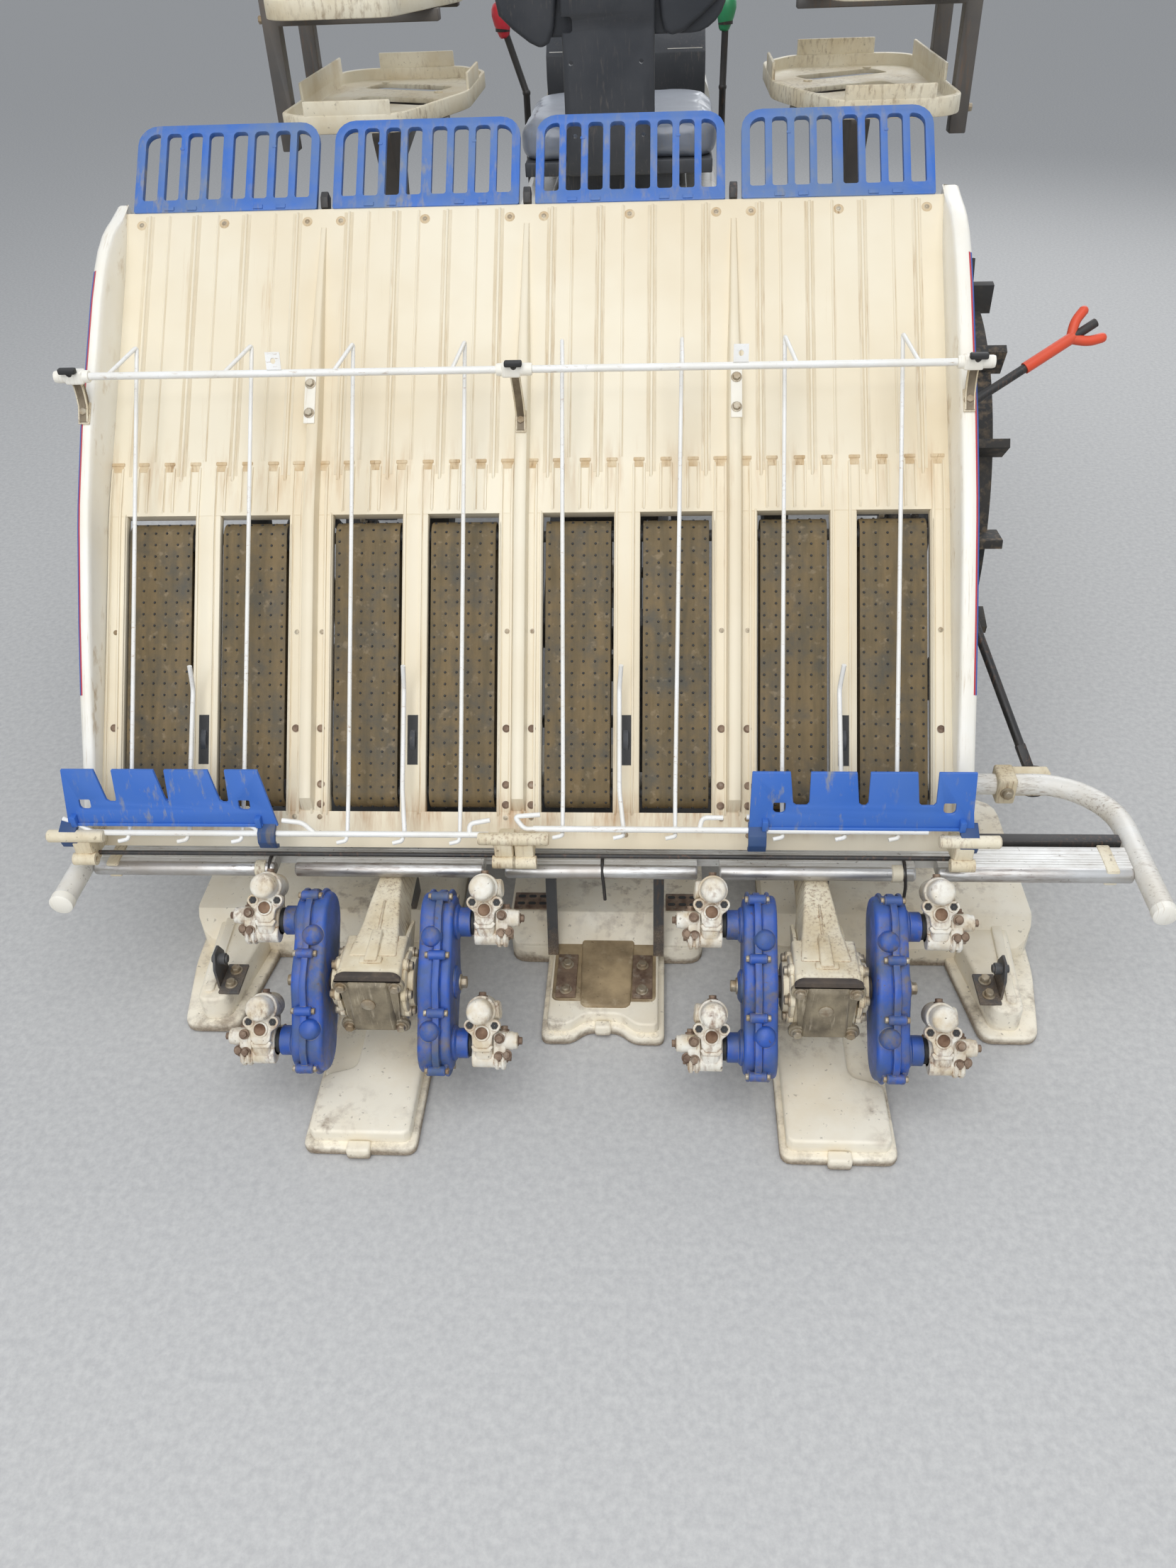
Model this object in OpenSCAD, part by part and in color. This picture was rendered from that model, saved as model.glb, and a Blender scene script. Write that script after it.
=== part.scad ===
// Four-row riding rice transplanter, parked with its planting floats down.
// X runs to the right, Y forward and Z up, with the ground at z = 0.
// Places along Y count from the rear covers of the planting gear cases; in_frame() then moves every
// piece so that the origin is on the ground below the middle of the machine's length.

/* [Planting section] */
// Distance between neighbouring planted rows
row_pitch = 300; // [290:2:320]
// Height of the rotor axis above the ground
rotor_z = 178; // [170:1:190]
// Distance of the rotor axis in front of the gear-case covers
rotor_y = 43; // [40:1:50]
// Distance from the rotor axis to each arm's pivot
arm_crank = 81; // [74:1:84]
// Thickness of a rotor case along its shaft
rotor_w = 44; // [38:1:46]
// Length of the round neck between a rotor case and its arm
neck_l = 21; // [16:1:24]
// Thickness of a planting arm
arm_w = 62; // [56:1:64]
// Radius of the rotor shaft
rotor_shaft_r = 15; // [12:0.5:17]
// Radius of the pin that an arm turns on
arm_pin_r = 12; // [9:0.5:14]
// Half width of a gear case's head
case_half_w = 42; // [38:1:43]
// Side of the square main beam
beam_side = 70; // [60:1:74]
// Thickness of the hitch and float plates
plate_t = 12; // [8:1:14]

/* [Seedling table] */
// How far the table is left of the middle at rest, half of its travel
table_shift = 115; // [100:1:118]
// Thickness of the table's panel
panel_t = 24; // [18:1:26]
// Thickness of the table's side walls
wall_t = 18; // [12:1:22]
// Width of a belt opening
window_w = 100; // [90:1:104]
// Width of a conveyor belt
belt_w = 92; // [80:1:94]
// Thickness of a conveyor belt
belt_t = 3; // [2:0.5:4]
// Radius of the rollers that the belts run on
roller_r = 18; // [14:1:20]
// Radius of the retention bar that stands off the table
mat_bar_r = 5; // [4:0.5:7]
// Radius of the thin retention rods
mat_rod_r = 3; // [2.5:0.5:4]
// Radius of the lower bar
lower_bar_r = 5; // [4:0.5:7]
// Length of an extension grid beyond the table's edge
grid_l = 140; // [120:2:150]
// Width of an extension grid
grid_w = 276; // [260:1:284]
// Thickness of an extension grid
grid_t = 10; // [6:1:14]

/* [Guard pipe, rail and markers] */
// Radius of the guard pipe
pipe_r = 16; // [13:0.5:17]
// Distance of the pipe's side runs from the centreline
pipe_x = 745; // [742:1:750]
// Height of the guard pipe
pipe_z = 255; // [254:1:258]
// Radius of the rounded rear edge of the slide rail
rail_edge_r = 11; // [8:1:11]
// Length of the marker's lower rod
marker_rod_l = 556; // [530:2:560]
// Radius of the marker's rods
marker_r = 7; // [5:0.5:9]

/* [Floats] */
// Width of a side float's inner tail
tail_w = 154; // [140:2:160]
// Width of a side float's outer lobe at its rear end
lobe_w = 80; // [70:2:84]
// Half width of the centre float's tail
centre_tail_half = 90; // [80:1:92]
// Half width of the centre float's front
centre_front_half = 150; // [130:2:156]
// Height of the floats' tails, which the rotors pass over
tail_h = 36; // [28:1:38]
// Height of the floats' front bodies
float_h = 74; // [64:1:80]

/* [Wheels and axles] */
// Rear wheels' radius over the lugs
rear_wheel_r = 405; // [395:1:410]
// Front wheels' radius over the lugs
front_wheel_r = 305; // [295:1:308]
// Distance between the axles
wheelbase = 900; // [890:5:930]
// Distance of the rear axle in front of the gear-case covers
rear_axle_y = 1130; // [1120:2:1150]
// Distance of each rear wheel from the centreline
rear_track_half = 600; // [595:1:620]
// Distance of each steering axis from the centreline
kingpin_x = 500; // [495:1:505]
// Distance of each front wheel outside its steering axis
front_offset = 95; // [92:1:100]
// Width of a lug
lug_w = 66; // [56:1:68]
// Width of a wheel's ring
ring_w = 34; // [26:1:40]
// Depth of a wheel's ring
ring_t = 24; // [18:1:30]
// Radius of the wheel axles
axle_r = 17; // [14:0.5:18]
// Radius of the axle tubes
axle_tube_r = 42; // [36:1:44]

/* [Lift linkage] */
// Distance between the pivots of each link
link_l = 500; // [480:5:510]
// Slope of the links with the floats on the ground
link_slope = 17; // [15:0.5:19]
// Height of the lower link's front pivot
lower_pin_z = 450; // [440:1:460]
// Distance from the lower to the upper link
link_gap = 160; // [150:1:166]
// Distance of the links' front pivots in front of the gear-case covers
link_front_y = 960; // [955:1:970]
// Radius of the link pins
link_pin_r = 10; // [8:0.5:12]
// Radius of the lift cylinder's barrel
barrel_r = 25; // [20:1:28]
// Radius of the lift cylinder's rod
ram_r = 12; // [9:0.5:14]

/* [Chassis and body] */
// Height of the top of the chassis rails
rail_top_z = 580; // [574:1:586]
// Depth of a chassis rail
rail_h = 70; // [60:1:74]
// Width of a chassis rail
rail_w = 50; // [40:1:56]
// Distance of each chassis rail's middle from the centreline
rail_x = 170; // [160:1:174]
// Thickness of the step floor
step_t = 24; // [18:1:28]
// Half width of the step floor beside the seat
step_half = 470; // [450:2:476]
// Height of the top of the seat base cover
seat_base_z = 870; // [850:1:880]
// Width of the seat cushion
seat_w = 410; // [400:2:430]
// Height of the top of the seat cushion
seat_top_z = 1000; // [985:1:1020]
// Width of the bonnet
bonnet_w = 380; // [360:2:400]
// Height of the bonnet
bonnet_h = 390; // [370:2:400]
// Thickness of the sheet covers
cover_t = 5; // [4:0.5:8]
// Radius of the steering wheel's rim, to the middle of its section
steer_r = 175; // [160:1:185]

/* [Spare seedling racks] */
// Length of a seedling tray
tray_l = 600; // [580:5:620]
// Width of a seedling tray
tray_w = 314; // [290:2:320]
// Height of the underside of the lower tray
tray_z = 1005; // [1000:1:1020]
// Height from one tray to the next
tray_step = 172; // [160:1:190]
// Side of the square rack posts
post_side = 30; // [24:1:32]

/* [Hidden] */
// Names of all the sub-parts, and the one that is drawn

$fn = 48;
// Face to face clearance, running clearance on a pin, and room around what moves
seat_gap = 0.3;
pin_gap = 0.3;
room = 5;

// The machine's rear and front ends along Y, and the shift that centres it
tail_end_y = -118;
guard_front_y = 2480;
origin_y = (tail_end_y + guard_front_y) / 2;

// Rows, gear cases and rotors: [x of the row, x of its gear case, side of the case]
row_list = [for (i = [0 : 3]) [(i - 1.5) * row_pitch, (i < 2 ? -1 : 1) * row_pitch, i % 2 == 0 ? -1 : 1]];
rotor_gap = 63;
arm_in = rotor_gap + rotor_w + neck_l + room;
neck_r = 20;
crank_angle = 46.7;
rotor_end_r = 42;

// Planting section places
beam_y = 280;
beam_z = 205;
rail_y = 190;
rail_lip_y = 215;
rail_back_y = 236;
rail_half_h = 11;
rail_z = pipe_z - 5;
rail_half = pipe_x - pipe_r - seat_gap;
claw_slot_half = 15;
pipe_front_y = 388;
pipe_corner_x = 640;
pipe_rear_y = 105;

// Table's surface: bottom edge, start of the belts, bend and top edge, as [y, z]
table_low = [196, 286];
belt_low = [228, 325];
table_bend = [496, 652];
table_top = [829, 981];
lane_half = row_pitch / 2;
table_half = 2 * row_pitch;
lane_list = [for (i = [0 : 3]) -table_shift + (i - 1.5) * row_pitch];
window_x = 68.5;
low_angle = atan2(table_bend[1] - belt_low[1], table_bend[0] - belt_low[0]);
top_angle = atan2(table_top[1] - table_bend[1], table_top[0] - table_bend[0]);
roller_drop = roller_r + belt_t + 2;
shaft_r = 8;
guide_drop = 62;
guide_s = 60;

// Marker's pivot, plane and outline, as in-plane [across, up] points
marker_pivot = [650, pipe_front_y, pipe_z + 7];
marker_lean = 50;
clamp_x = [584, 612];
marker_stand = pipe_r + marker_r + room;
marker_tilt = 19.5;
marker_bend = marker_rod_l * [-sin(marker_tilt), cos(marker_tilt)];
marker_end = marker_bend + [282, 182];
prong_tips = [marker_end + [-14, 22], marker_end + [13, -21]];

// Axles: the wheels stand on two lugs
lug_tip = 14;
lug_base = 26;
rear_lugs = 16;
front_lugs = 12;
function axle_height(r, n) = r * cos(180 / n) + lug_tip / 2 * sin(180 / n);
rear_axle_z = axle_height(rear_wheel_r, rear_lugs);
front_axle_z = axle_height(front_wheel_r, front_lugs);
front_axle_y = rear_axle_y + wheelbase;
hub_w = 90;
hub_r = 42;
axle_case_z = rail_top_z - rail_h - 50;
beam_tube_z = 432;
beam_tube_r = 36;
head_r = 44;

// Linkage pivots at rest
link_rear_y = link_front_y - link_l * cos(link_slope);
link_rear_z = lower_pin_z - link_l * sin(link_slope);
arm_side_x = 78;
arm_side_t = 16;
bracket_x = arm_side_x + arm_side_t + 6;
mast_half = 60;

// Lift cylinder: base pin, pin on the lower link and the slot of the rod's eye
ram_base = [994, 242];
ram_arm = 196;
ram_lead = 6.2;
ram_pin_r = 9;
ram_play = 7;
ram_pin = [link_front_y - ram_arm * cos(ram_lead - link_slope), lower_pin_z + ram_arm * sin(ram_lead - link_slope)];
ram_l = norm(ram_pin - ram_base);
ram_angle = atan2(ram_pin[1] - ram_base[1], ram_base[0] - ram_pin[0]);
barrel_l = 200;
barrel_start = 20;

// Body places along Y
step_rear_y = 1230;
step_wide_y = 1700;
dash_y = 1990;
dash_l = 120;
bonnet_y = dash_y + dash_l + seat_gap;
bonnet_l = 300;
step_z = rail_top_z + step_t;
step_narrow = 330;
seat_y = 1390;
seat_l = 400;
rack_y = 1590;
rack_x = 443;
post_ys = [1450, 1700];

module in_frame() translate([0, -origin_y, 0]) children();

// A profile drawn in Y and Z, from x to x + t
module slab(x, t) translate([x, 0, 0]) rotate([90, 0, 90]) linear_extrude(t) children();

// A box between two corners
module block(low, high) translate(low) cube(high - low);

// A round bar between two points
module bar(a, b, r, n = 32) {
    d = b - a;
    translate(a)
        rotate([0, acos(d[2] / norm(d)), atan2(d[1], d[0])])
            cylinder(h = norm(d), r = r, $fn = n);
}

// A round bar along X
module cross_bar(x0, x1, y, z, r) translate([x0, y, z]) rotate([0, 90, 0]) cylinder(h = x1 - x0, r = r);

// An outline with its corners eased by short flats
function eased(pts, r) = [for (i = [0 : len(pts) - 1])
    let (c = pts[i], a = pts[(i + len(pts) - 1) % len(pts)] - c, b = pts[(i + 1) % len(pts)] - c,
         p = c + min(r, norm(a) * 0.45) * a / norm(a), q = c + min(r, norm(b) * 0.45) * b / norm(b))
        for (t = [0 : 0.25 : 1]) p * (1 - t) * (1 - t) + 2 * c * t * (1 - t) + q * t * t];

// Both sides of the machine
module both() {
    children();
    mirror([1, 0, 0]) children();
}

// A flat link outline with round ends, from the origin along -X
module link_outline(l, r, h) {
    circle(r);
    translate([-l, 0]) circle(r);
    translate([-l, -h / 2]) square([l, h]);
}

// Chassis

module frame_rails() in_frame() color("dimgray") {
    rear_y = 1060;
    front_y = 2330;
    both() block([rail_x - rail_w / 2, rear_y, rail_top_z - rail_h], [rail_x + rail_w / 2, front_y, rail_top_z]);
    for (y = [rear_y, 1560, front_y - 40])
        block([-rail_x, y, rail_top_z - rail_h + 8], [rail_x, y + 40, rail_top_z - 8]);
    upper_z = lower_pin_z + link_gap;
    bracket = [[rear_y + 12, rail_top_z], [rear_y - 20, upper_z + 34], [link_front_y - 22, upper_z + 34],
               [link_front_y - 38, upper_z + 10], [link_front_y - 38, lower_pin_z - 12],
               [link_front_y - 20, lower_pin_z - 34], [link_front_y + 26, lower_pin_z - 34],
               [rear_y + 12, rail_top_z - rail_h]];
    both() slab(bracket_x, plate_t) polygon(bracket);
    for (z = [lower_pin_z, upper_z])
        cross_bar(-bracket_x - plate_t - 8, bracket_x + plate_t + 8, link_front_y, z, link_pin_r);
}

module rear_axle() in_frame() color("dimgray") {
    case_x = 90;
    case_y0 = rear_axle_y - 88;
    case_y1 = rear_axle_y + 88;
    drop_x = [440, 500];
    block([-case_x, case_y0, 350], [case_x, case_y1, rail_top_z - rail_h]);
    both() {
        cross_bar(case_x - 1, drop_x[0] + 1, rear_axle_y, axle_case_z, axle_tube_r);
        slab(drop_x[0], drop_x[1] - drop_x[0]) union() {
            translate([rear_axle_y, axle_case_z]) circle(axle_tube_r + 16);
            translate([rear_axle_y, rear_axle_z]) circle(axle_tube_r + 8);
            translate([rear_axle_y - axle_tube_r, rear_axle_z]) square([2 * axle_tube_r, axle_case_z - rear_axle_z]);
        }
        cross_bar(drop_x[1] - 1, rear_track_half + hub_w / 2 + 8, rear_axle_y, rear_axle_z, axle_r);
        block([rail_x - rail_w / 2, rear_axle_y - 30, axle_case_z], [rail_x + rail_w / 2, rear_axle_y + 30,
              rail_top_z - rail_h]);
        slab(barrel_r + 9, plate_t) polygon([[case_y0 + 4, 420], [case_y0 + 4, 352], [ram_base[0] + 20, ram_base[1] - 18],
              [ram_base[0] - 18, ram_base[1] - 20], [ram_base[0] - 22, ram_base[1] + 16], [case_y0 - 30, 420]]);
    }
    cross_bar(-barrel_r - 9 - plate_t, barrel_r + 9 + plate_t, ram_base[0], ram_base[1], ram_pin_r);
}

module front_axle() in_frame() color("dimgray") {
    cross_bar(-kingpin_x, kingpin_x, front_axle_y, beam_tube_z, beam_tube_r);
    block([-70, front_axle_y - 60, beam_tube_z - 55], [70, front_axle_y + 60, rail_top_z - rail_h + 8 - seat_gap]);
    block([-rail_x - 10, front_axle_y - 26, beam_tube_z + 22], [rail_x + 10, front_axle_y + 26,
          rail_top_z - rail_h - seat_gap]);
    both() translate([kingpin_x, front_axle_y, 0]) {
        translate([0, 0, beam_tube_z - 40]) cylinder(h = 84, r = head_r);
        translate([0, 0, front_axle_z - 52]) cylinder(h = beam_tube_z - front_axle_z + 20, r = axle_r);
    }
}

module transmission() in_frame() color("gray") {
    box_y0 = front_axle_y - 330;
    box_y1 = front_axle_y - 70;
    under_z = rail_top_z - rail_h;
    block([-rail_x + 30, box_y0, under_z - 110], [rail_x - 30, box_y1, under_z - 4]);
    for (y = [box_y0 + 30, box_y1 - 70]) block([-rail_x, y, under_z - 30], [rail_x, y + 40, under_z - seat_gap]);
    translate([0, rear_axle_y + 88 + seat_gap, under_z - 60]) rotate([-90, 0, 0])
        cylinder(h = box_y0 - rear_axle_y - 87, r = 22);
}

module engine() in_frame() color("silver")
    block([-rail_x, bonnet_y + 30, rail_top_z], [rail_x, bonnet_y + bonnet_l - 50, rail_top_z + 270]);

module step_floor() in_frame() color("darkslategray") translate([0, 0, rail_top_z]) linear_extrude(step_t)
    polygon([[-step_half, step_rear_y], [step_half, step_rear_y], [step_half, step_wide_y - 40],
             [step_half - 40, step_wide_y], [step_narrow, step_wide_y], [step_narrow, dash_y + dash_l],
             [-step_narrow, dash_y + dash_l], [-step_narrow, step_wide_y], [-step_half + 40, step_wide_y],
             [-step_half, step_wide_y - 40]]);

// The bonnet's outer form, drawn in by a margin
module bonnet_form(in) intersection() {
    w = bonnet_w / 2 - in;
    translate([-w, 0, 0]) rotate([90, 0, 90]) linear_extrude(2 * w)
        polygon([[bonnet_y + in, step_z - 1], [bonnet_y + in, step_z + bonnet_h - in],
                 [bonnet_y + bonnet_l * 0.62, step_z + bonnet_h - 26 - in],
                 [bonnet_y + bonnet_l - 26 - in, step_z + bonnet_h - 84 - in],
                 [bonnet_y + bonnet_l - in, step_z + bonnet_h - 130 - in], [bonnet_y + bonnet_l - in, step_z - 1]]);
    translate([0, bonnet_y + bonnet_l + 1, 0]) rotate([90, 0, 0]) linear_extrude(bonnet_l + 2) {
        translate([-w, step_z - 60]) square([2 * w, bonnet_h - 10]);
        for (s = [-1, 1]) translate([s * (w - 70), step_z + bonnet_h - 70 - in]) circle(70, $fn = 64);
        translate([-w + 70, step_z - 60]) square([2 * w - 140, bonnet_h + 60 - in]);
    }
}

module bonnet() in_frame() color("ivory") difference() {
    intersection() {
        bonnet_form(0);
        block([-bonnet_w, bonnet_y - 1, rail_top_z + seat_gap], [bonnet_w, bonnet_y + bonnet_l + 1, 2000]);
    }
    bonnet_form(cover_t);
    for (s = [-1, 1]) for (i = [0 : 4])
        translate([s * bonnet_w / 2 - 10, bonnet_y + 60 + i * 26, step_z + 170]) cube([20, 12, 90]);
}

module lamps() in_frame() color("whitesmoke") both()
    translate([bonnet_w / 2 - 78, bonnet_y + bonnet_l + seat_gap, step_z + 190]) rotate([-90, 0, 0]) {
        cylinder(h = 12, r = 44);
        cylinder(h = 22, r = 36);
    }

// Steering column: foot inside the dash, direction and the places of the tube's end and the wheel's hub
dash_top_z = 1075;
column_foot = [0, dash_y + 50, dash_top_z - 20];
column_tilt = 30;
column_dir = [0, -sin(column_tilt), cos(column_tilt)];
column_l = 118;
steer_shaft_r = 10;

module dash() in_frame() color("dimgray") {
    slab(-175, 350) polygon([[dash_y + 30, 900], [dash_y, 990], [dash_y + 6, dash_top_z - 40],
        [dash_y + 50, dash_top_z], [dash_y + dash_l, dash_top_z], [dash_y + dash_l, 900]]);
    block([-120, dash_y + 40, step_z], [120, dash_y + dash_l, 905]);
    bar(column_foot, column_foot + column_l * column_dir, 24);
    bar(column_foot, column_foot + (column_l + 32) * column_dir, steer_shaft_r);
}

module steering_wheel() in_frame() color("black") translate(column_foot + (column_l + room + 1) * column_dir)
  rotate([column_tilt, 0, 0]) {
    difference() {
        cylinder(h = 30, r = 30);
        translate([0, 0, -1]) cylinder(h = 28, r = steer_shaft_r + pin_gap);
    }
    translate([0, 0, 30]) rotate_extrude($fn = 64) translate([steer_r, 0]) circle(13, $fn = 24);
    for (a = [90, 210, 330]) rotate([0, 0, a]) translate([26, -11, 22]) cube([steer_r - 34, 22, 8]);
}

module seat_base() in_frame() color("ivory") difference() {
    outline = [[1180, rail_top_z + seat_gap], [1180, seat_base_z - 60], [1240, seat_base_z], [1700, seat_base_z],
               [1730, seat_base_z - 30], [1730, rail_top_z + seat_gap]];
    slab(-190, 380) polygon(outline);
    slab(-190 + cover_t, 380 - 2 * cover_t) polygon([[1180 + cover_t, 500], [1180 + cover_t, seat_base_z - 63],
        [1242, seat_base_z - cover_t], [1698, seat_base_z - cover_t], [1730 - cover_t, seat_base_z - 32],
        [1730 - cover_t, 500]]);
    // The step floor lies round the cover's foot
    block([-191, step_rear_y - seat_gap, 500], [191, 1731, step_z + seat_gap]);
}

module seat_pan() in_frame() color("dimgray") {
    pan_z = seat_top_z - 95;
    for (y = [seat_y + 40, seat_y + seat_l - 80])
        block([-110, y, seat_base_z + seat_gap], [110, y + 40, pan_z + 1]);
    block([-seat_w / 2 + 30, seat_y + 20, pan_z], [seat_w / 2 - 30, seat_y + seat_l - 20, pan_z + 25]);
}

module seat_cushion() in_frame() color("darkgray") {
    z0 = seat_top_z - 70 + seat_gap;
    hull() {
        for (x = [-seat_w / 2 + 50, seat_w / 2 - 50]) for (y = [seat_y + 50, seat_y + seat_l - 50]) {
            translate([x, y, z0 + 24]) cylinder(h = 26, r = 50, $fn = 32);
            translate([x, y, z0]) cylinder(h = 70 - seat_gap, r = 34, $fn = 32);
        }
    }
}

module seat_back() in_frame() color("dimgray") {
    // Back column with its holes, and the shell that carries the back pad
    half = seat_w / 2 - 117;
    difference() {
        foot_y = seat_y + 20 - seat_gap;
        slab(-half, 2 * half) polygon([[foot_y, seat_top_z - 88], [seat_y - 22, seat_top_z - 88],
            [seat_y - 34, seat_top_z - 60], [seat_y - 44, 1140], [seat_y - 66, 1300], [seat_y - 50, 1300],
            [seat_y - 30, 1140], [seat_y - 20, seat_top_z - 60], [seat_y - 12, seat_top_z - 72],
            [foot_y, seat_top_z - 72]]);
        for (x = [30 - half, half - 30]) for (z = [985, 1085])
            translate([x, seat_y - 80, z]) rotate([-90, 0, 0]) cylinder(h = 80, r = 5);
    }
    hull() for (x = [-1, 1]) {
        translate([x * (seat_w / 2 - 55), seat_y - 40, 1150]) rotate([-80, 0, 0]) cylinder(h = 30, r = 40, $fn = 32);
        translate([x * (seat_w / 2 - 45), seat_y - 62, 1290]) rotate([-80, 0, 0]) cylinder(h = 30, r = 45, $fn = 32);
    }
}

// Two levers on the step floor in front of the seat; the left one leans out
module levers() in_frame() color("black") for (s = [-1, 1]) {
    x = s * 208;
    y = 1850;
    knee = [x, y, 985];
    tip = [s < 0 ? -250 : 210, y, 1112];
    block([x - 22, y - 30, step_z + seat_gap], [x + 22, y + 30, step_z + 26]);
    bar([x, y, step_z + 20], knee, 7, 24);
    translate(knee) sphere(8.5);
    bar(knee, tip, 7, 24);
    translate(tip - [0, 0, 14]) cylinder(h = 50, r = 15, $fn = 32);
}

// Spare seedling rack on the right: leg, carrier bars and posts
module rack() {
    leg_y = 1500;
    foot_x = rack_x - 18;
    color("black") {
        slab(foot_x, 34) polygon([[leg_y - 40, step_z + 8], [leg_y - 50, tray_z - 90], [leg_y - 80, tray_z - 30],
            [leg_y - 80, tray_z - 20], [leg_y + 260, tray_z - 20], [leg_y + 260, tray_z - 50],
            [leg_y + 60, tray_z - 90], [leg_y + 10, step_z + 8]]);
        block([foot_x - 30, leg_y - 70, step_z], [min(foot_x + 54, step_half - 2), leg_y + 50, step_z + 10]);
    }
    color("dimgray") for (y = post_ys) {
        outer = rack_x + tray_w / 2 + 6;
        for (k = [0, 1])
            block([rack_x - tray_w / 2 + 30, y - post_side / 2, tray_z - 20 + k * tray_step],
                  [outer + 1, y + post_side / 2, tray_z + k * tray_step]);
        block([outer, y - post_side / 2, tray_z - 50], [outer + post_side, y + post_side / 2,
              tray_z + tray_step + 60]);
    }
}

module rack_right() in_frame() rack();
module rack_left() in_frame() mirror([1, 0, 0]) rack();

// One seedling tray carrier: a slotted plate with a skirt and four lips
module tray() {
    t = 5;
    skirt = 30;
    half = [tray_w / 2, tray_l / 2];
    difference() {
        block([-half[0], -half[1], 0], [half[0], half[1], skirt]);
        block([-half[0] + t, -half[1] + t, t], [half[0] - t, half[1] - t, skirt + 1]);
        for (y = [-170, 0, 170]) translate([0, y, -1]) rotate([0, 0, 24]) translate([-90, -34, 0]) cube([180, 68, t + 2]);
    }
    for (s = [-1, 1]) {
        block([min(s * half[0], s * (half[0] - t)), -110, 0], [max(s * half[0], s * (half[0] - t)), 110, 62]);
        block([-80, min(s * half[1], s * (half[1] - t)), 0], [80, max(s * half[1], s * (half[1] - t)), 62]);
    }
}

module rack_trays() in_frame() color("ivory") for (s = [-1, 1]) for (k = [0, 1])
    translate([s * rack_x, rack_y, tray_z + k * tray_step + seat_gap]) tray();

module front_guard() in_frame() color("dimgray") {
    r = 14;
    top_z = 700;
    front_y = guard_front_y - r - 1.5;
    difference() {
        union() {
            both() {
                block([rail_x - rail_w / 2, 2330, rail_top_z - rail_h + 4], [rail_x + rail_w / 2, 2342, rail_top_z - 4]);
                bar([rail_x, 2342, rail_top_z - rail_h / 2], [rail_x, front_y, rail_top_z - rail_h / 2], r);
                bar([rail_x, front_y, rail_top_z - rail_h / 2], [rail_x, front_y, top_z], r);
                for (z = [rail_top_z - rail_h / 2, top_z]) translate([rail_x, front_y, z]) sphere(r + 1.5);
            }
            cross_bar(-rail_x, rail_x, front_y, top_z, r);
            cross_bar(-rail_x, rail_x, front_y, rail_top_z - rail_h / 2, r);
            block([-70, front_y - 6, rail_top_z - rail_h / 2], [70, front_y + 6, top_z]);
        }
        for (x = [-50, 50]) for (z = [590, 650])
            translate([x, front_y - 20, z]) rotate([-90, 0, 0]) cylinder(h = 40, r = 5.5);
        // Hole for a tie-down shackle
        translate([0, front_y - 20, 620]) rotate([-90, 0, 0]) cylinder(h = 40, r = 11);
    }
}

// Wheels and steering

module wheel(r, lugs, spokes) {
    ring_r = r - 42;
    difference() {
        union() {
            rotate([0, 90, 0]) {
                rotate_extrude($fn = 96) translate([ring_r - ring_t, -ring_w / 2]) square([ring_t, ring_w]);
                cylinder(h = hub_w, r = hub_r, center = true);
                cylinder(h = 24, r = hub_r + 26, center = true);
            }
            for (i = [0 : lugs - 1]) rotate([(i + 0.5) * 360 / lugs, 0, 0]) translate([-lug_w / 2, 0, 0])
                rotate([90, 0, 90]) linear_extrude(lug_w)
                    polygon([[-lug_base / 2, -ring_r + 4], [-lug_tip / 2, -r], [lug_tip / 2, -r], [lug_base / 2, -ring_r + 4]]);
            for (i = [0 : spokes - 1]) rotate([i * 360 / spokes, 0, 0])
                translate([0, 0, hub_r]) cylinder(h = ring_r - ring_t - hub_r + 4, r = 9, $fn = 24);
        }
        rotate([0, 90, 0]) cylinder(h = hub_w + 2, r = axle_r + pin_gap, center = true);
    }
}

module rear_wheel(s) in_frame() color("black")
    translate([s * rear_track_half, rear_axle_y, rear_axle_z]) wheel(rear_wheel_r, rear_lugs, 8);
module rear_wheel_left() rear_wheel(-1);
module rear_wheel_right() rear_wheel(1);

module front_wheel(s) in_frame() color("black")
    translate([s * (kingpin_x + front_offset), front_axle_y, front_axle_z]) wheel(front_wheel_r, front_lugs, 6);
module front_wheel_left() front_wheel(-1);
module front_wheel_right() front_wheel(1);

// Knuckle of the right side: a sleeve round the kingpin with the stub axle
module knuckle() translate([kingpin_x, front_axle_y, 0]) {
    sleeve_r = 32;
    top_z = beam_tube_z - 40 - room;
    difference() {
        union() {
            translate([0, 0, front_axle_z - 44]) cylinder(h = top_z - front_axle_z + 44, r = sleeve_r);
            cross_bar(0, front_offset - hub_w / 2 - 3, 0, front_axle_z, 30);
        }
        translate([0, 0, front_axle_z - 60]) cylinder(h = 200, r = axle_r + pin_gap);
    }
    cross_bar(sleeve_r - 4, front_offset + hub_w / 2 + 8, 0, front_axle_z, axle_r);
}

module knuckle_right() in_frame() color("dimgray") knuckle();
module knuckle_left() in_frame() color("dimgray") mirror([1, 0, 0]) knuckle();

// Lift linkage

module lower_link() in_frame() color("dimgray")
    translate([0, link_front_y, lower_pin_z]) rotate([link_slope, 0, 0]) {
        horn = [-ram_arm * cos(ram_lead), ram_arm * sin(ram_lead)];
        both() slab(arm_side_x, arm_side_t) difference() {
            union() {
                link_outline(link_l, 24, 40);
                translate(horn) circle(22);
            }
            circle(link_pin_r + pin_gap);
            translate([-link_l, 0]) circle(link_pin_r + pin_gap);
        }
        cross_bar(-arm_side_x - 1, arm_side_x + 1, horn[0], horn[1], ram_pin_r);
        cross_bar(-arm_side_x - 1, arm_side_x + 1, -330, 0, 15);
    }

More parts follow.
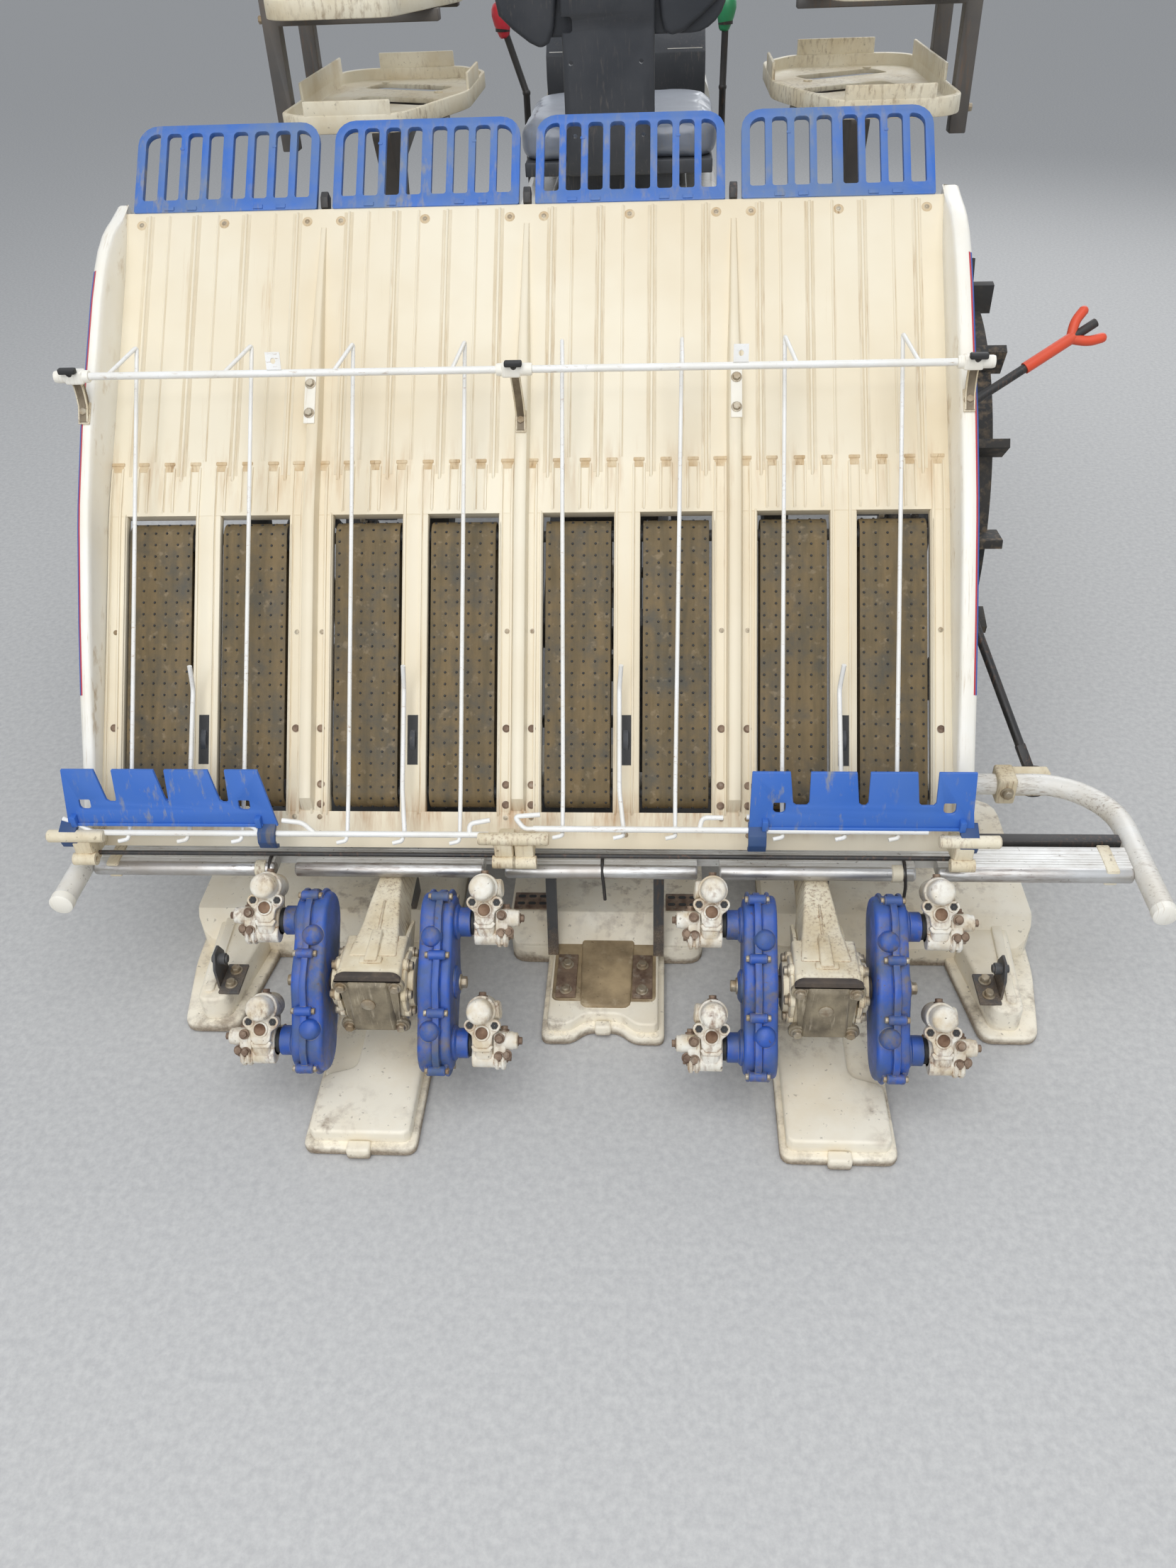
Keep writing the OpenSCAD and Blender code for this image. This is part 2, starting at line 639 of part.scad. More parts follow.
module upper_link() in_frame() color("dimgray")
    translate([0, link_front_y, lower_pin_z + link_gap]) rotate([link_slope, 0, 0]) {
        both() slab(arm_side_x, arm_side_t) difference() {
            link_outline(link_l, 22, 30);
            circle(link_pin_r + pin_gap);
            translate([-link_l, 0]) circle(link_pin_r + pin_gap);
        }
        cross_bar(-arm_side_x - 1, arm_side_x + 1, -250, 0, 13);
    }

// Along the cylinder from its base pin
module ram_line() in_frame() translate([0, ram_base[0], ram_base[1]]) rotate([-ram_angle, 0, 0]) children();

module lift_barrel() ram_line() color("gray") difference() {
    union() {
        slab(-18, 36) circle(20);
        translate([0, -barrel_start + 8, 0]) rotate([90, 0, 0]) cylinder(h = barrel_l, r = barrel_r);
    }
    slab(-40, 80) circle(ram_pin_r + pin_gap);
    translate([0, -82, 0]) rotate([90, 0, 0]) cylinder(h = barrel_l, r = ram_r + pin_gap);
}

module lift_rod() ram_line() color("silver") {
    eye_r = ram_pin_r + ram_play + 9;
    translate([0, -90, 0]) rotate([90, 0, 0]) cylinder(h = ram_l - 90 - eye_r + 3, r = ram_r);
    slab(-14, 28) translate([-ram_l, 0]) difference() {
        circle(eye_r);
        circle(ram_pin_r + ram_play);
    }
}

// Planting section

module hitch_frame() in_frame() color("dimgray") {
    top_z = link_rear_z + link_gap;
    both() slab(mast_half - plate_t, plate_t) polygon([[beam_y + beam_side, beam_z - 20], [link_rear_y + 26, beam_z - 20],
        [link_rear_y + 26, top_z + 26], [link_rear_y - 24, top_z + 26], [link_rear_y - 52, top_z - 10],
        [link_rear_y - 52, pipe_z - pipe_r - 8], [beam_y + beam_side, pipe_z - pipe_r - 8]]);
    block([-mast_half, beam_y + beam_side, beam_z - 20], [mast_half, link_rear_y + 20, beam_z - 8]);
    block([-mast_half, link_rear_y - 40, top_z - 60], [mast_half, link_rear_y - 28, top_z - 20]);
    for (z = [link_rear_z, top_z])
        cross_bar(-arm_side_x - arm_side_t - 8, arm_side_x + arm_side_t + 8, link_rear_y, z, link_pin_r);
}

module main_beam() in_frame() color("dimgray") {
    half = 520;
    front_y = beam_y + beam_side;
    block([-half, beam_y, beam_z], [half, front_y, beam_z + beam_side]);
    // Arms that carry the guard pipe, and hangers that carry the floats
    both() {
        block([430, front_y, pipe_z - 14], [470, pipe_front_y - pipe_r - seat_gap, pipe_z + 14]);
        for (x = [300, 330]) block([x, beam_y + 14, float_h + seat_gap], [x + 8, beam_y + 56, beam_z]);
        slab(centre_tail_half - 17, 16) polygon([[234, tail_h + seat_gap], [241, tail_h + seat_gap], [beam_y, beam_z - 14],
            [beam_y, beam_z + 50], [beam_y - 7, beam_z + 50], [beam_y - 7, beam_z - 14]]);
    }
}

module gear_cases() in_frame() color("ivory") for (s = [-1, 1]) translate([s * row_pitch, 0, 0]) {
    w = case_half_w;
    base_z = rail_z - rail_half_h;
    // The head and the neck, which narrows towards the beam
    intersection() {
        slab(-w, 2 * w) polygon([[0, 136], [12, 126], [80, 126], [180, beam_z - 20], [beam_y, beam_z - 20],
            [beam_y, base_z], [174, base_z], [95, 228], [8, 230], [0, 222]]);
        translate([0, 0, 100]) linear_extrude(200) polygon([[-w, -1], [w, -1], [w, 66], [w * 0.62, 96], [w * 0.5, beam_y + 1],
            [-w * 0.5, beam_y + 1], [-w * 0.62, 96], [-w, 66]]);
    }
    slab(-w - 8, 2 * w + 16) polygon([[beam_y - 16, beam_z - 20], [beam_y, beam_z - 20], [beam_y, base_z],
        [beam_y - 16, base_z]]);
    cross_bar(-w - 14, w + 14, rotor_y, rotor_z, 33);
    cross_bar(-rotor_gap - rotor_w, rotor_gap + rotor_w, rotor_y, rotor_z, rotor_shaft_r);
}

module slide_rail() in_frame() color("silver")
    block([-rail_half, rail_lip_y, rail_z - rail_half_h], [rail_half, rail_back_y, rail_z + rail_half_h]);

// Rounded rear edge of the rail, one length between each pair of claw slots
module rail_lips() in_frame() color("silver") {
    starts = concat([-rail_half], [for (row = row_list) row[0] + claw_slot_half]);
    stops = concat([for (row = row_list) row[0] - claw_slot_half], [rail_half]);
    for (k = [0 : 4]) {
        cross_bar(starts[k], stops[k], rail_y, rail_z, rail_edge_r);
        block([starts[k], rail_y, rail_z - rail_half_h], [stops[k], rail_lip_y, rail_z + rail_half_h]);
    }
}

module guard_pipe() in_frame() color("white") {
    bend_r = pipe_x - pipe_corner_x;
    bend = [for (a = [0 : 30 : 90]) [pipe_corner_x + bend_r * cos(a), pipe_front_y - bend_r + bend_r * sin(a), pipe_z]];
    both() {
        bar([pipe_x, pipe_rear_y, pipe_z], bend[0], pipe_r);
        for (k = [0 : 2]) bar(bend[k], bend[k + 1], pipe_r);
        for (corner = bend) translate(corner) sphere(pipe_r + 1, $fn = 32);
        // Clamp on the front run, with the plate and pin of the marker
        block([clamp_x[0], pipe_front_y - 22, pipe_z - 22], [clamp_x[1], pipe_front_y + 22, pipe_z + 22]);
        marker_place() {
            translate([clamp_x[0] - marker_pivot[0] + 4, -22, pipe_r + 1])
                cube([marker_pivot[0] - clamp_x[0] + 20, 44, 7]);
            translate([0, 0, pipe_r + 2]) cylinder(h = marker_stand + marker_r + 12 - pipe_r, r = 10);
        }
    }
    cross_bar(-pipe_corner_x, pipe_corner_x, pipe_front_y, pipe_z, pipe_r);
}

// The right marker's plane: X across, Y up along the folded marker, Z away from the guard pipe
module marker_place() translate(marker_pivot) rotate([marker_lean, 0, 0]) mirror([0, 0, 1]) children();

module marker() {
    lift = marker_stand + 4;
    color("black") {
        difference() {
            union() {
                translate([0, 0, lift - marker_r]) cylinder(h = 2 * marker_r, r = 24);
                translate([0, 0, lift]) rotate([0, 0, marker_tilt]) translate([-marker_r, 0, -marker_r])
                    cube([2 * marker_r, 60, 2 * marker_r]);
            }
            translate([0, 0, -40]) cylinder(h = 120, r = 10 + pin_gap);
        }
        at = function(p) [p[0], p[1], lift];
        bar(at(marker_bend * 0.06), at(marker_bend), marker_r, 24);
        translate(at(marker_bend)) sphere(marker_r + 1.5, $fn = 32);
        bar(at(marker_bend), at(marker_end), marker_r, 24);
    }
    color("orangered") for (p = prong_tips) {
        bar([marker_end[0] - 30, marker_end[1] - 20, lift], [p[0], p[1], lift], 6, 24);
    }
}

module marker_right() in_frame() marker_place() marker();
module marker_left() in_frame() mirror([1, 0, 0]) marker_place() marker();

// Floats: a plan outline cut by a side profile

module float_form(y_nose, low) intersection() {
    translate([0, 0, -1]) linear_extrude(float_h + 40) children();
    slab(-700, 1400) polygon([[low, 0], [y_nose - 130, 0], [y_nose, 46], [y_nose, float_h + 10], [y_nose - 60, float_h + 10],
        [y_nose - 120, float_h], [292, float_h], [258, tail_h], [low, tail_h]]);
}

// The right float: two lobes that pass the planted row, joined in front
module side_float() {
    inner = row_pitch - tail_w / 2 + 20;
    outer = 2 * row_pitch + 52;
    nose = 580;
    tail_y = tail_end_y + 8;
    float_form(nose, tail_end_y) {
        polygon(eased([[inner, tail_y], [inner + tail_w, tail_y], [inner + tail_w, 330], [inner, 330]], 18));
        translate([inner + tail_w / 2 - 16, tail_end_y]) square([32, 60]);
        polygon(eased([[inner, 258], [outer, 258], [outer, nose], [inner, nose]], 60));
    }
    // The outer lobe, with its rim and the higher strip along it
    tip = outer - 26;
    linear_extrude(16) polygon(eased([[tip - lobe_w, 100], [tip, 100], [outer - 4, 230], [outer, 340],
        [outer - 131, 340], [outer - 131, 262]], 20));
    linear_extrude(float_h - 16) polygon(eased([[tip - lobe_w + 14, 114], [tip - 24, 112], [outer - 34, 340],
        [outer - 118, 340], [outer - 118, 262]], 16));
}

module float_right() in_frame() color("ivory") side_float();
module float_left() in_frame() color("ivory") mirror([1, 0, 0]) side_float();

// The centre float: a tail with a notched end and a wide front
module float_centre() in_frame() color("ivory") {
    nose = 740;
    a = centre_tail_half;
    b = centre_front_half;
    float_form(nose, 87) {
        polygon(eased([[-a, 87], [-46, 87], [-22, 108], [22, 108], [46, 87], [a, 87], [a, 330], [-a, 330]], 14));
        polygon(eased([[-b, 254], [b, 254], [b, nose], [-b, nose]], 30));
    }
}

// Points of the table's section: s along the surface from a corner, and the drop below it
function on_low(s, drop) = belt_low + s * [cos(low_angle), sin(low_angle)] + drop * [sin(low_angle), -cos(low_angle)];
function on_top(s, drop) = table_bend + s * [cos(top_angle), sin(top_angle)] + drop * [sin(top_angle), -cos(top_angle)];

module table_posts() in_frame() color("dimgray") for (s = [-1, 1]) translate([s * 250, 0, 0]) {
    half = 18;
    drop = 100;
    foot_s = 40;
    head_s = norm(table_bend - belt_low) - 20;
    wheel_r = 16;
    slab(-half, 2 * half) polygon([on_low(foot_s, drop - half), on_low(head_s, drop - half), on_low(head_s, drop + half),
        on_low(foot_s, drop + half), [beam_y + 50, beam_z + beam_side], [beam_y + 12, beam_z + beam_side]]);
    // The fork and the roller that the table's guide bar rides on
    at = on_top(guide_s, guide_drop + 20 + wheel_r + seat_gap);
    tip = on_low(head_s - 20, drop);
    slab(-half, 2 * half) polygon([tip + [-10, 12], tip + [14, -16], at + [26, -32], at + [-24, -4]]);
    translate([0, at[0], at[1]]) rotate([top_angle - 90, 0, 0]) {
        translate([0, 0, -14]) cylinder(h = 28, r = wheel_r);
    }
}

// Rotors and planting arms

crank_dir = [cos(crank_angle), sin(crank_angle)];

module rotor(i) {
    row = row_list[i];
    x0 = row[1] + (row[2] > 0 ? rotor_gap : -rotor_gap - rotor_w);
    in_frame() color("royalblue") translate([0, rotor_y, rotor_z]) {
        slab(x0, rotor_w) difference() {
            union() {
                rotate(crank_angle) {
                    translate([-arm_crank, -rotor_end_r * 0.86]) square([2 * arm_crank, 2 * rotor_end_r * 0.86]);
                    for (k = [-1, 1]) translate([k * arm_crank, 0]) circle(rotor_end_r);
                }
                circle(54);
            }
            circle(rotor_shaft_r + pin_gap);
        }
        for (k = [-1, 1]) {
            c = k * arm_crank * crank_dir;
            x1 = row[1] + row[2] * (rotor_gap + rotor_w - 1);
            x2 = row[1] + row[2] * (arm_in - room);
            x3 = row[1] + row[2] * (arm_in + arm_w - 8);
            cross_bar(min(x1, x2), max(x1, x2), c[0], c[1], neck_r);
            cross_bar(min(x2, x3), max(x2, x3), c[0], c[1], arm_pin_r);
        }
    }
}

module arm(i, k) {
    row = row_list[i];
    x0 = row[1] + (row[2] > 0 ? arm_in : -arm_in - arm_w);
    c = k * arm_crank * crank_dir;
    in_frame() color("ivory") translate([0, rotor_y + c[0], rotor_z + c[1]]) {
        difference() {
            union() {
                slab(x0, arm_w) {
                    circle(28);
                    translate([-13, 62]) circle(22);
                    polygon([[-27, 6], [-35, 60], [8, 64], [27, 6]]);
                    polygon([[4, -26], [27, -4], [48, -26], [36, -40]]);
                }
                // The planting claw: two thin prongs
                for (x = [row[0] - 11, row[0] + 8])
                    slab(x, 3) polygon([[30, -24], [48, -22], [62, -50], [57, -52], [40, -40]]);
            }
            slab(x0 - 1, arm_w + 2) circle(arm_pin_r + pin_gap);
        }
    }
}

module rotor_1() rotor(0);
module rotor_2() rotor(1);
module rotor_3() rotor(2);
module rotor_4() rotor(3);
module arm_1_upper() arm(0, 1);
module arm_1_lower() arm(0, -1);
module arm_2_upper() arm(1, 1);
module arm_2_lower() arm(1, -1);
module arm_3_upper() arm(2, 1);
module arm_3_lower() arm(2, -1);
module arm_4_upper() arm(3, 1);
module arm_4_lower() arm(3, -1);

// Seedling table

low_len = norm(table_bend - belt_low);
top_len = norm(table_top - table_bend);
mid_angle = (low_angle + top_angle) / 2;
belt_ends_s = [28, low_len - 30];
bend_under = table_bend + panel_t / cos((low_angle - top_angle) / 2) * [sin(mid_angle), -cos(mid_angle)];

// Height of the side walls' flat rim, which the retention bar stands on
rim_h = 62;

module table_panel() in_frame() color("ivory") {
    w = table_half;
    groove_r = shaft_r + seat_gap;
    difference() {
        union() {
            slab(-table_shift - w, 2 * w) polygon([table_low, belt_low, table_bend, table_top, on_top(top_len, panel_t),
                bend_under, on_low(0, panel_t), on_low(-40, panel_t)]);
            for (i = [1 : 3]) slab(-table_shift - w + i * row_pitch - 8, 16)
                polygon([on_low(5, 3), on_low(2, -16), on_low(low_len, -16), on_top(top_len - 20, -16),
                         on_top(top_len - 4, 3)]);
        }
        for (x = lane_list) for (s = [-1, 1]) slab(x + s * window_x - window_w / 2, window_w)
            polygon([on_low(1, -40), on_low(low_len - 1, -40), on_low(low_len - 1, 60), on_low(1, 60)]);
        // Grooves in the underside for the belt shafts
        for (at = belt_ends_s) slab(-table_shift - w - 1, 2 * w + 2) polygon([on_low(at - groove_r, 60),
            on_low(at - groove_r, roller_drop - groove_r), on_low(at + groove_r, roller_drop - groove_r),
            on_low(at + groove_r, 60)]);
    }
    // Side walls
    for (s = [-1, 1]) slab(s > 0 ? -table_shift + w : -table_shift - w - wall_t, wall_t) polygon([
        on_low(-48, panel_t + 6), on_low(-44, -12), on_low(60, -26), on_low(160, -42), on_low(260, -52),
        on_low(low_len, -60), on_top(100, -rim_h), on_top(300, -rim_h), on_top(362, -55), on_top(410, -40),
        on_top(445, -20), on_top(top_len + 16, 2), on_top(top_len + 20, 20), on_top(top_len - 10, panel_t + 8),
        on_low(low_len, panel_t + 8)]);
    // Shoes that slide on the rail in front of its slots
    for (x = [-table_shift - 560, -table_shift - 300, -table_shift - 40, -table_shift + 260, -table_shift + 520])
        block([x, table_low[0] + 21, rail_z + rail_half_h + seat_gap], [x + 40, table_low[0] + 36, table_low[1] + 14]);
}

module table_frame() in_frame() color("dimgray") {
    w = table_half;
    translate([-table_shift, 0, 0]) {
        // Guide bar that rides on the post rollers, hung on three brackets, and the upper cross bar
        slab(-w + 20, 2 * w - 40) polygon([on_top(guide_s - 14, guide_drop), on_top(guide_s + 14, guide_drop),
            on_top(guide_s + 14, guide_drop + 20), on_top(guide_s - 14, guide_drop + 20)]);
        for (x = [-w + 40, -8, w - 56]) slab(x, 16)
            polygon([on_top(guide_s - 14, panel_t + seat_gap), on_top(guide_s + 14, panel_t + seat_gap),
                     on_top(guide_s + 14, guide_drop + 1), on_top(guide_s - 14, guide_drop + 1)]);
        slab(-w + 20, 2 * w - 40) polygon([on_top(top_len - 60, panel_t + seat_gap), on_top(top_len - 20, panel_t + seat_gap),
            on_top(top_len - 20, panel_t + 22), on_top(top_len - 60, panel_t + 22)]);
        // Belt shafts from wall to wall, each with a roller in every belt
        for (at = belt_ends_s) {
            e = on_low(at, roller_drop);
            cross_bar(-w + seat_gap, w - seat_gap, e[0], e[1], shaft_r);
            for (x = lane_list) for (s = [-1, 1])
                cross_bar(x + table_shift + s * window_x - belt_w / 2 + 2, x + table_shift + s * window_x + belt_w / 2 - 2,
                          e[0], e[1], roller_r);
        }
    }
}

// One belt's section: a loop of short flats round two rollers
module belt_loop(r) {
    a = on_low(belt_ends_s[0], roller_drop);
    b = on_low(belt_ends_s[1], roller_drop);
    function round_end(c, from) = [for (i = [0 : 12]) c + r * [cos(low_angle + from + i * 15), sin(low_angle + from + i * 15)]];
    polygon(concat(round_end(b, -90), round_end(a, 90)));
}

module belts() in_frame() color("saddlebrown") for (x = lane_list) for (s = [-1, 1])
    slab(x + s * window_x - belt_w / 2, belt_w) difference() {
        belt_loop(roller_r + seat_gap + belt_t);
        belt_loop(roller_r + seat_gap);
    }

// One extension grid, drawn flat: X across, Y up the slope
module grid_plan() {
    r = 26;
    slots = 8;
    frame_w = 14;
    pitch = (grid_w - frame_w) / slots;
    difference() {
        union() {
            translate([-grid_w / 2, 0]) square([grid_w, grid_l - r]);
            translate([-grid_w / 2 + r, 0]) square([grid_w - 2 * r, grid_l]);
            for (s = [-1, 1]) translate([s * (grid_w / 2 - r), grid_l - r]) circle(r);
        }
        for (i = [0 : slots - 1]) translate([-grid_w / 2 + frame_w + i * pitch, 18]) square([pitch - frame_w, grid_l - 34]);
    }
}

module grids() in_frame() color("cornflowerblue") for (x = lane_list) {
    foot = on_top(top_len, 2);
    translate([x, foot[0], foot[1]]) rotate([top_angle, 0, 0]) translate([0, seat_gap, -grid_t])
        linear_extrude(grid_t) grid_plan();
}

module mat_bar() in_frame() color("whitesmoke") {
    bar_at = on_top(160, -100 - mat_bar_r);
    w = table_half;
    translate([-table_shift, 0, 0]) {
        cross_bar(-w - 34, w + 26, bar_at[0], bar_at[1], mat_bar_r);
        // Brackets up from the walls' rims and from the middle divider
        for (x = [-w - wall_t + 2, w + 2]) slab(x, wall_t - 4) polygon([on_top(112, -rim_h - seat_gap),
            on_top(150, -rim_h - seat_gap), on_top(172, -84), on_top(176, -104), on_top(168, -116), on_top(150, -116),
            on_top(146, -100), on_top(152, -90), on_top(138, -76)]);
        slab(-7, 14) polygon([on_top(128, -16 - seat_gap), on_top(168, -16 - seat_gap), on_top(180, -60),
            on_top(177, -104), on_top(168, -116), on_top(150, -116), on_top(146, -98), on_top(154, -88),
            on_top(152, -56)]);
    }
    // Thin rods from the bar down over the belts
    foot = on_low(34, -52);
    for (x = lane_list) for (s = [-1, 1]) {
        bar([x + s * 79, bar_at[0], bar_at[1]], [x + s * 79, foot[0], foot[1]], mat_rod_r, 16);
        translate([x + s * 79, foot[0], foot[1]]) sphere(mat_rod_r + 1, $fn = 16);
    }
}

module lower_bar() in_frame() color("ivory") {
    at = on_low(-32, -57);
    w = table_half - seat_gap;
    translate([-table_shift, 0, 0]) {
        cross_bar(-w, w, at[0], at[1], lower_bar_r);
        cross_bar(-w, w, at[0] - 6, at[1] - 26, 4);
        // Blocks round both bars, with hooks that stand on the panel
        for (x = [-w, -w / 2 - 15, -15, w / 2 - 15, w - 30]) {
            slab(x, 30) polygon([at + [-12, -32], at + [12, -32], at + [12, 10], at + [-12, 10]]);
            slab(x + 6, 18) polygon([at + [0, -32], at + [0, -10], on_low(-16, -seat_gap - 0.1), on_low(-36, -seat_gap - 0.1)]);
        }
    }
}

frame_rails();
rear_axle();
front_axle();
transmission();
engine();
step_floor();
bonnet();
lamps();
dash();
seat_base();
seat_pan();
seat_cushion();
seat_back();
levers();
rack_left();
rack_right();
rack_trays();
front_guard();
steering_wheel();
knuckle_left();
knuckle_right();
front_wheel_left();
front_wheel_right();
rear_wheel_left();
rear_wheel_right();
lower_link();
upper_link();
lift_barrel();
lift_rod();
hitch_frame();
main_beam();
gear_cases();
slide_rail();
rail_lips();
guard_pipe();
float_left();
float_centre();
float_right();
table_posts();
rotor_1();
rotor_2();
rotor_3();
rotor_4();
arm_1_upper();
arm_1_lower();
arm_2_upper();
arm_2_lower();
arm_3_upper();
arm_3_lower();
arm_4_upper();
arm_4_lower();
table_panel();
table_frame();
belts();
grids();
mat_bar();
lower_bar();
marker_left();
marker_right();
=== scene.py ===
import math
import random

import bpy
from mathutils import Matrix, Vector


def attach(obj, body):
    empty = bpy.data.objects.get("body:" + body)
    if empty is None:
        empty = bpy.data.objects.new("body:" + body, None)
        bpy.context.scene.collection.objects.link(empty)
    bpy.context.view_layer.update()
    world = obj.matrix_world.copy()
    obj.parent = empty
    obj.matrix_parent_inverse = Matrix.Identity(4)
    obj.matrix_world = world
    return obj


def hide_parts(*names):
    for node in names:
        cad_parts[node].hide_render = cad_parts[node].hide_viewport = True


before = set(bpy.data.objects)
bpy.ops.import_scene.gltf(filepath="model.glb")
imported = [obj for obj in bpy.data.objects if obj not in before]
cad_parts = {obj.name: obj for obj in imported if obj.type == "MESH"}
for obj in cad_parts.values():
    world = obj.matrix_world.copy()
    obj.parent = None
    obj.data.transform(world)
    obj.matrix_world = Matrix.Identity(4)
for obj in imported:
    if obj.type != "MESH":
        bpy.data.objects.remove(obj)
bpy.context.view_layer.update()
random.seed(4)
print("stage: frame loaded")

midY = 1181              # mm from the gear-case covers to the frame's origin


def mm(x, y, z):
    # a place in millimetres behind the gear-case covers, as Blender metres
    return Vector((x, y - midY, z)) / 1000


def deselect():
    if bpy.context.mode != "OBJECT":
        bpy.ops.object.mode_set(mode="OBJECT")
    bpy.ops.object.select_all(action="DESELECT")


def pick(piece):
    deselect()
    piece.select_set(True)
    bpy.context.view_layer.objects.active = piece
    return piece


def editAll(piece):
    # into edit mode with everything selected
    pick(piece)
    bpy.ops.object.mode_set(mode="EDIT")
    bpy.ops.mesh.select_all(action="SELECT")


def linked(name, mesh):
    piece = bpy.data.objects.new(name, mesh)
    bpy.context.collection.objects.link(piece)
    return piece


def tidyMesh(piece):
    editAll(piece)
    bpy.ops.mesh.remove_doubles(threshold=0.00002)
    bpy.ops.mesh.normals_make_consistent(inside=False)
    bpy.ops.object.mode_set(mode="OBJECT")
    return piece


def fromFaces(name, places, faces):
    mesh = bpy.data.meshes.new(name)
    mesh.from_pydata(places, [], faces)
    return tidyMesh(linked(name, mesh))


def modify(piece, kind, **values):
    pick(piece)
    modifier = piece.modifiers.new(kind.lower(), kind)
    for key, value in values.items():
        setattr(modifier, key, value)
    bpy.ops.object.modifier_apply(modifier=modifier.name)
    return piece


def rounded(piece, width, segments=2, angle=32):
    # bevels every sharp edge; width in mm
    return modify(piece, "BEVEL", width=width / 1000, segments=segments, limit_method="ANGLE",
                  angle_limit=math.radians(angle), use_clamp_overlap=True)


def smooth(piece, angle=38):
    pick(piece)
    bpy.ops.object.shade_smooth_by_angle(angle=math.radians(angle))
    return piece


def extruded(name, corners, reach):
    # a flat outline, one vertex a corner, pulled along a vector
    deselect()
    bpy.ops.mesh.primitive_circle_add(vertices=len(corners), radius=1, fill_type="NGON")
    piece = bpy.context.object
    piece.name = name
    for vertex, corner in zip(piece.data.vertices, corners):
        vertex.co = corner
    editAll(piece)
    bpy.ops.mesh.extrude_region_move(TRANSFORM_OT_translate={"value": reach})
    bpy.ops.mesh.select_all(action="SELECT")
    bpy.ops.mesh.normals_make_consistent(inside=False)
    bpy.ops.object.mode_set(mode="OBJECT")
    return piece


def plate(name, outline, x0, x1):
    # outline in Y and Z, thickness along X
    return extruded(name, [mm(x0, y, z) for y, z in outline], ((x1 - x0) / 1000, 0, 0))


def slabUp(name, outline, z0, z1):
    # outline in X and Y, thickness along Z
    return extruded(name, [mm(x, y, z0) for x, y in outline], (0, 0, (z1 - z0) / 1000))


def box(name, low, high):
    x0, y0, z0 = low
    x1, y1, z1 = high
    return slabUp(name, [(x0, y0), (x1, y0), (x1, y1), (x0, y1)], z0, z1)


def joined(name, parts):
    deselect()
    for part in parts:
        part.select_set(True)
    bpy.context.view_layer.objects.active = parts[0]
    bpy.ops.object.join()
    parts[0].name = name
    return parts[0]


def cutAway(piece, cutters):
    # takes each cutter out of the piece
    for cutter in cutters:
        modify(piece, "BOOLEAN", operation="DIFFERENCE", solver="EXACT", object=cutter)
        bpy.data.objects.remove(cutter)
    return piece


def roundedPath(points, bend, steps=5):
    # a poly line whose inner corners are arcs of about that size
    path = [points[0]]
    for before, corner, after in zip(points, points[1:], points[2:]):
        a = corner + (before - corner).normalized() * min(bend, (before - corner).length * 0.48)
        b = corner + (after - corner).normalized() * min(bend, (after - corner).length * 0.48)
        for k in range(steps + 1):
            t = k / steps
            path.append(a * (1 - t) ** 2 + corner * 2 * t * (1 - t) + b * t ** 2)
    return path + [points[-1]]


def tube(name, points, radius, bend=0, sides=4):
    # a round rod along points in mm triples, with bends
    path = [mm(*p) for p in points]
    if bend:
        path = roundedPath(path, bend / 1000)
    deselect()
    bpy.ops.curve.primitive_nurbs_path_add()
    piece = bpy.context.object
    piece.name = name
    curve = piece.data
    curve.splines.clear()
    spline = curve.splines.new("POLY")
    spline.points.add(len(path) - 1)
    for point, place in zip(spline.points, path):
        point.co = (*place, 1)
    curve.dimensions = "3D"
    curve.bevel_depth = radius / 1000
    curve.bevel_resolution = sides
    curve.use_fill_caps = True
    bpy.ops.object.convert(target="MESH")
    return tidyMesh(bpy.context.object)


def turnedTo(direction):
    # takes +Z to a direction
    return Vector(direction).to_track_quat("Z", "Y").to_matrix().to_4x4()


def turned(name, profile, base, axis, steps=32):
    # profile of (along, radius) in mm, spun round an axis from base
    deselect()
    bpy.ops.mesh.primitive_circle_add(vertices=len(profile), radius=1, fill_type="NOTHING")
    piece = bpy.context.object
    piece.name = name
    for vertex, (along, radius) in zip(piece.data.vertices, profile):
        vertex.co = (radius / 1000, 0, along / 1000)
    editAll(piece)
    bpy.ops.mesh.spin(steps=steps, angle=2 * math.pi, center=(0, 0, 0), axis=(0, 0, 1))
    bpy.ops.object.mode_set(mode="OBJECT")
    tidyMesh(piece)
    piece.data.transform(Matrix.Translation(mm(*base)) @ turnedTo(axis))
    return piece


def loft(name, sections):
    # closed form through rings of places with the same count
    count = len(sections[0])
    places = [mm(*p) for ring in sections for p in ring]
    faces = [(r * count + c, r * count + (c + 1) % count, (r + 1) * count + (c + 1) % count, (r + 1) * count + c)
             for r in range(len(sections) - 1) for c in range(count)]
    faces += [tuple(range(count)), tuple((len(sections) - 1) * count + c for c in reversed(range(count)))]
    return fromFaces(name, places, faces)


def copied(name, master, places):
    # copies of a small piece that is modelled at the frame's origin along +Z
    # each place is (point in mm, direction, turn in degrees)
    parts = []
    for place, direction, spinBy in places:
        part = linked(name, master.data.copy())
        turn = turnedTo(direction) @ Matrix.Rotation(math.radians(spinBy), 4, "Z")
        part.data.transform(Matrix.Translation(mm(*place)) @ turn)
        parts.append(part)
    bpy.data.objects.remove(master)
    return joined(name, parts)


def onOrigin(name, profile, steps):
    # a turned form that stands on the frame's origin
    return turned(name, profile, (0, midY, 0), (0, 0, 1), steps)


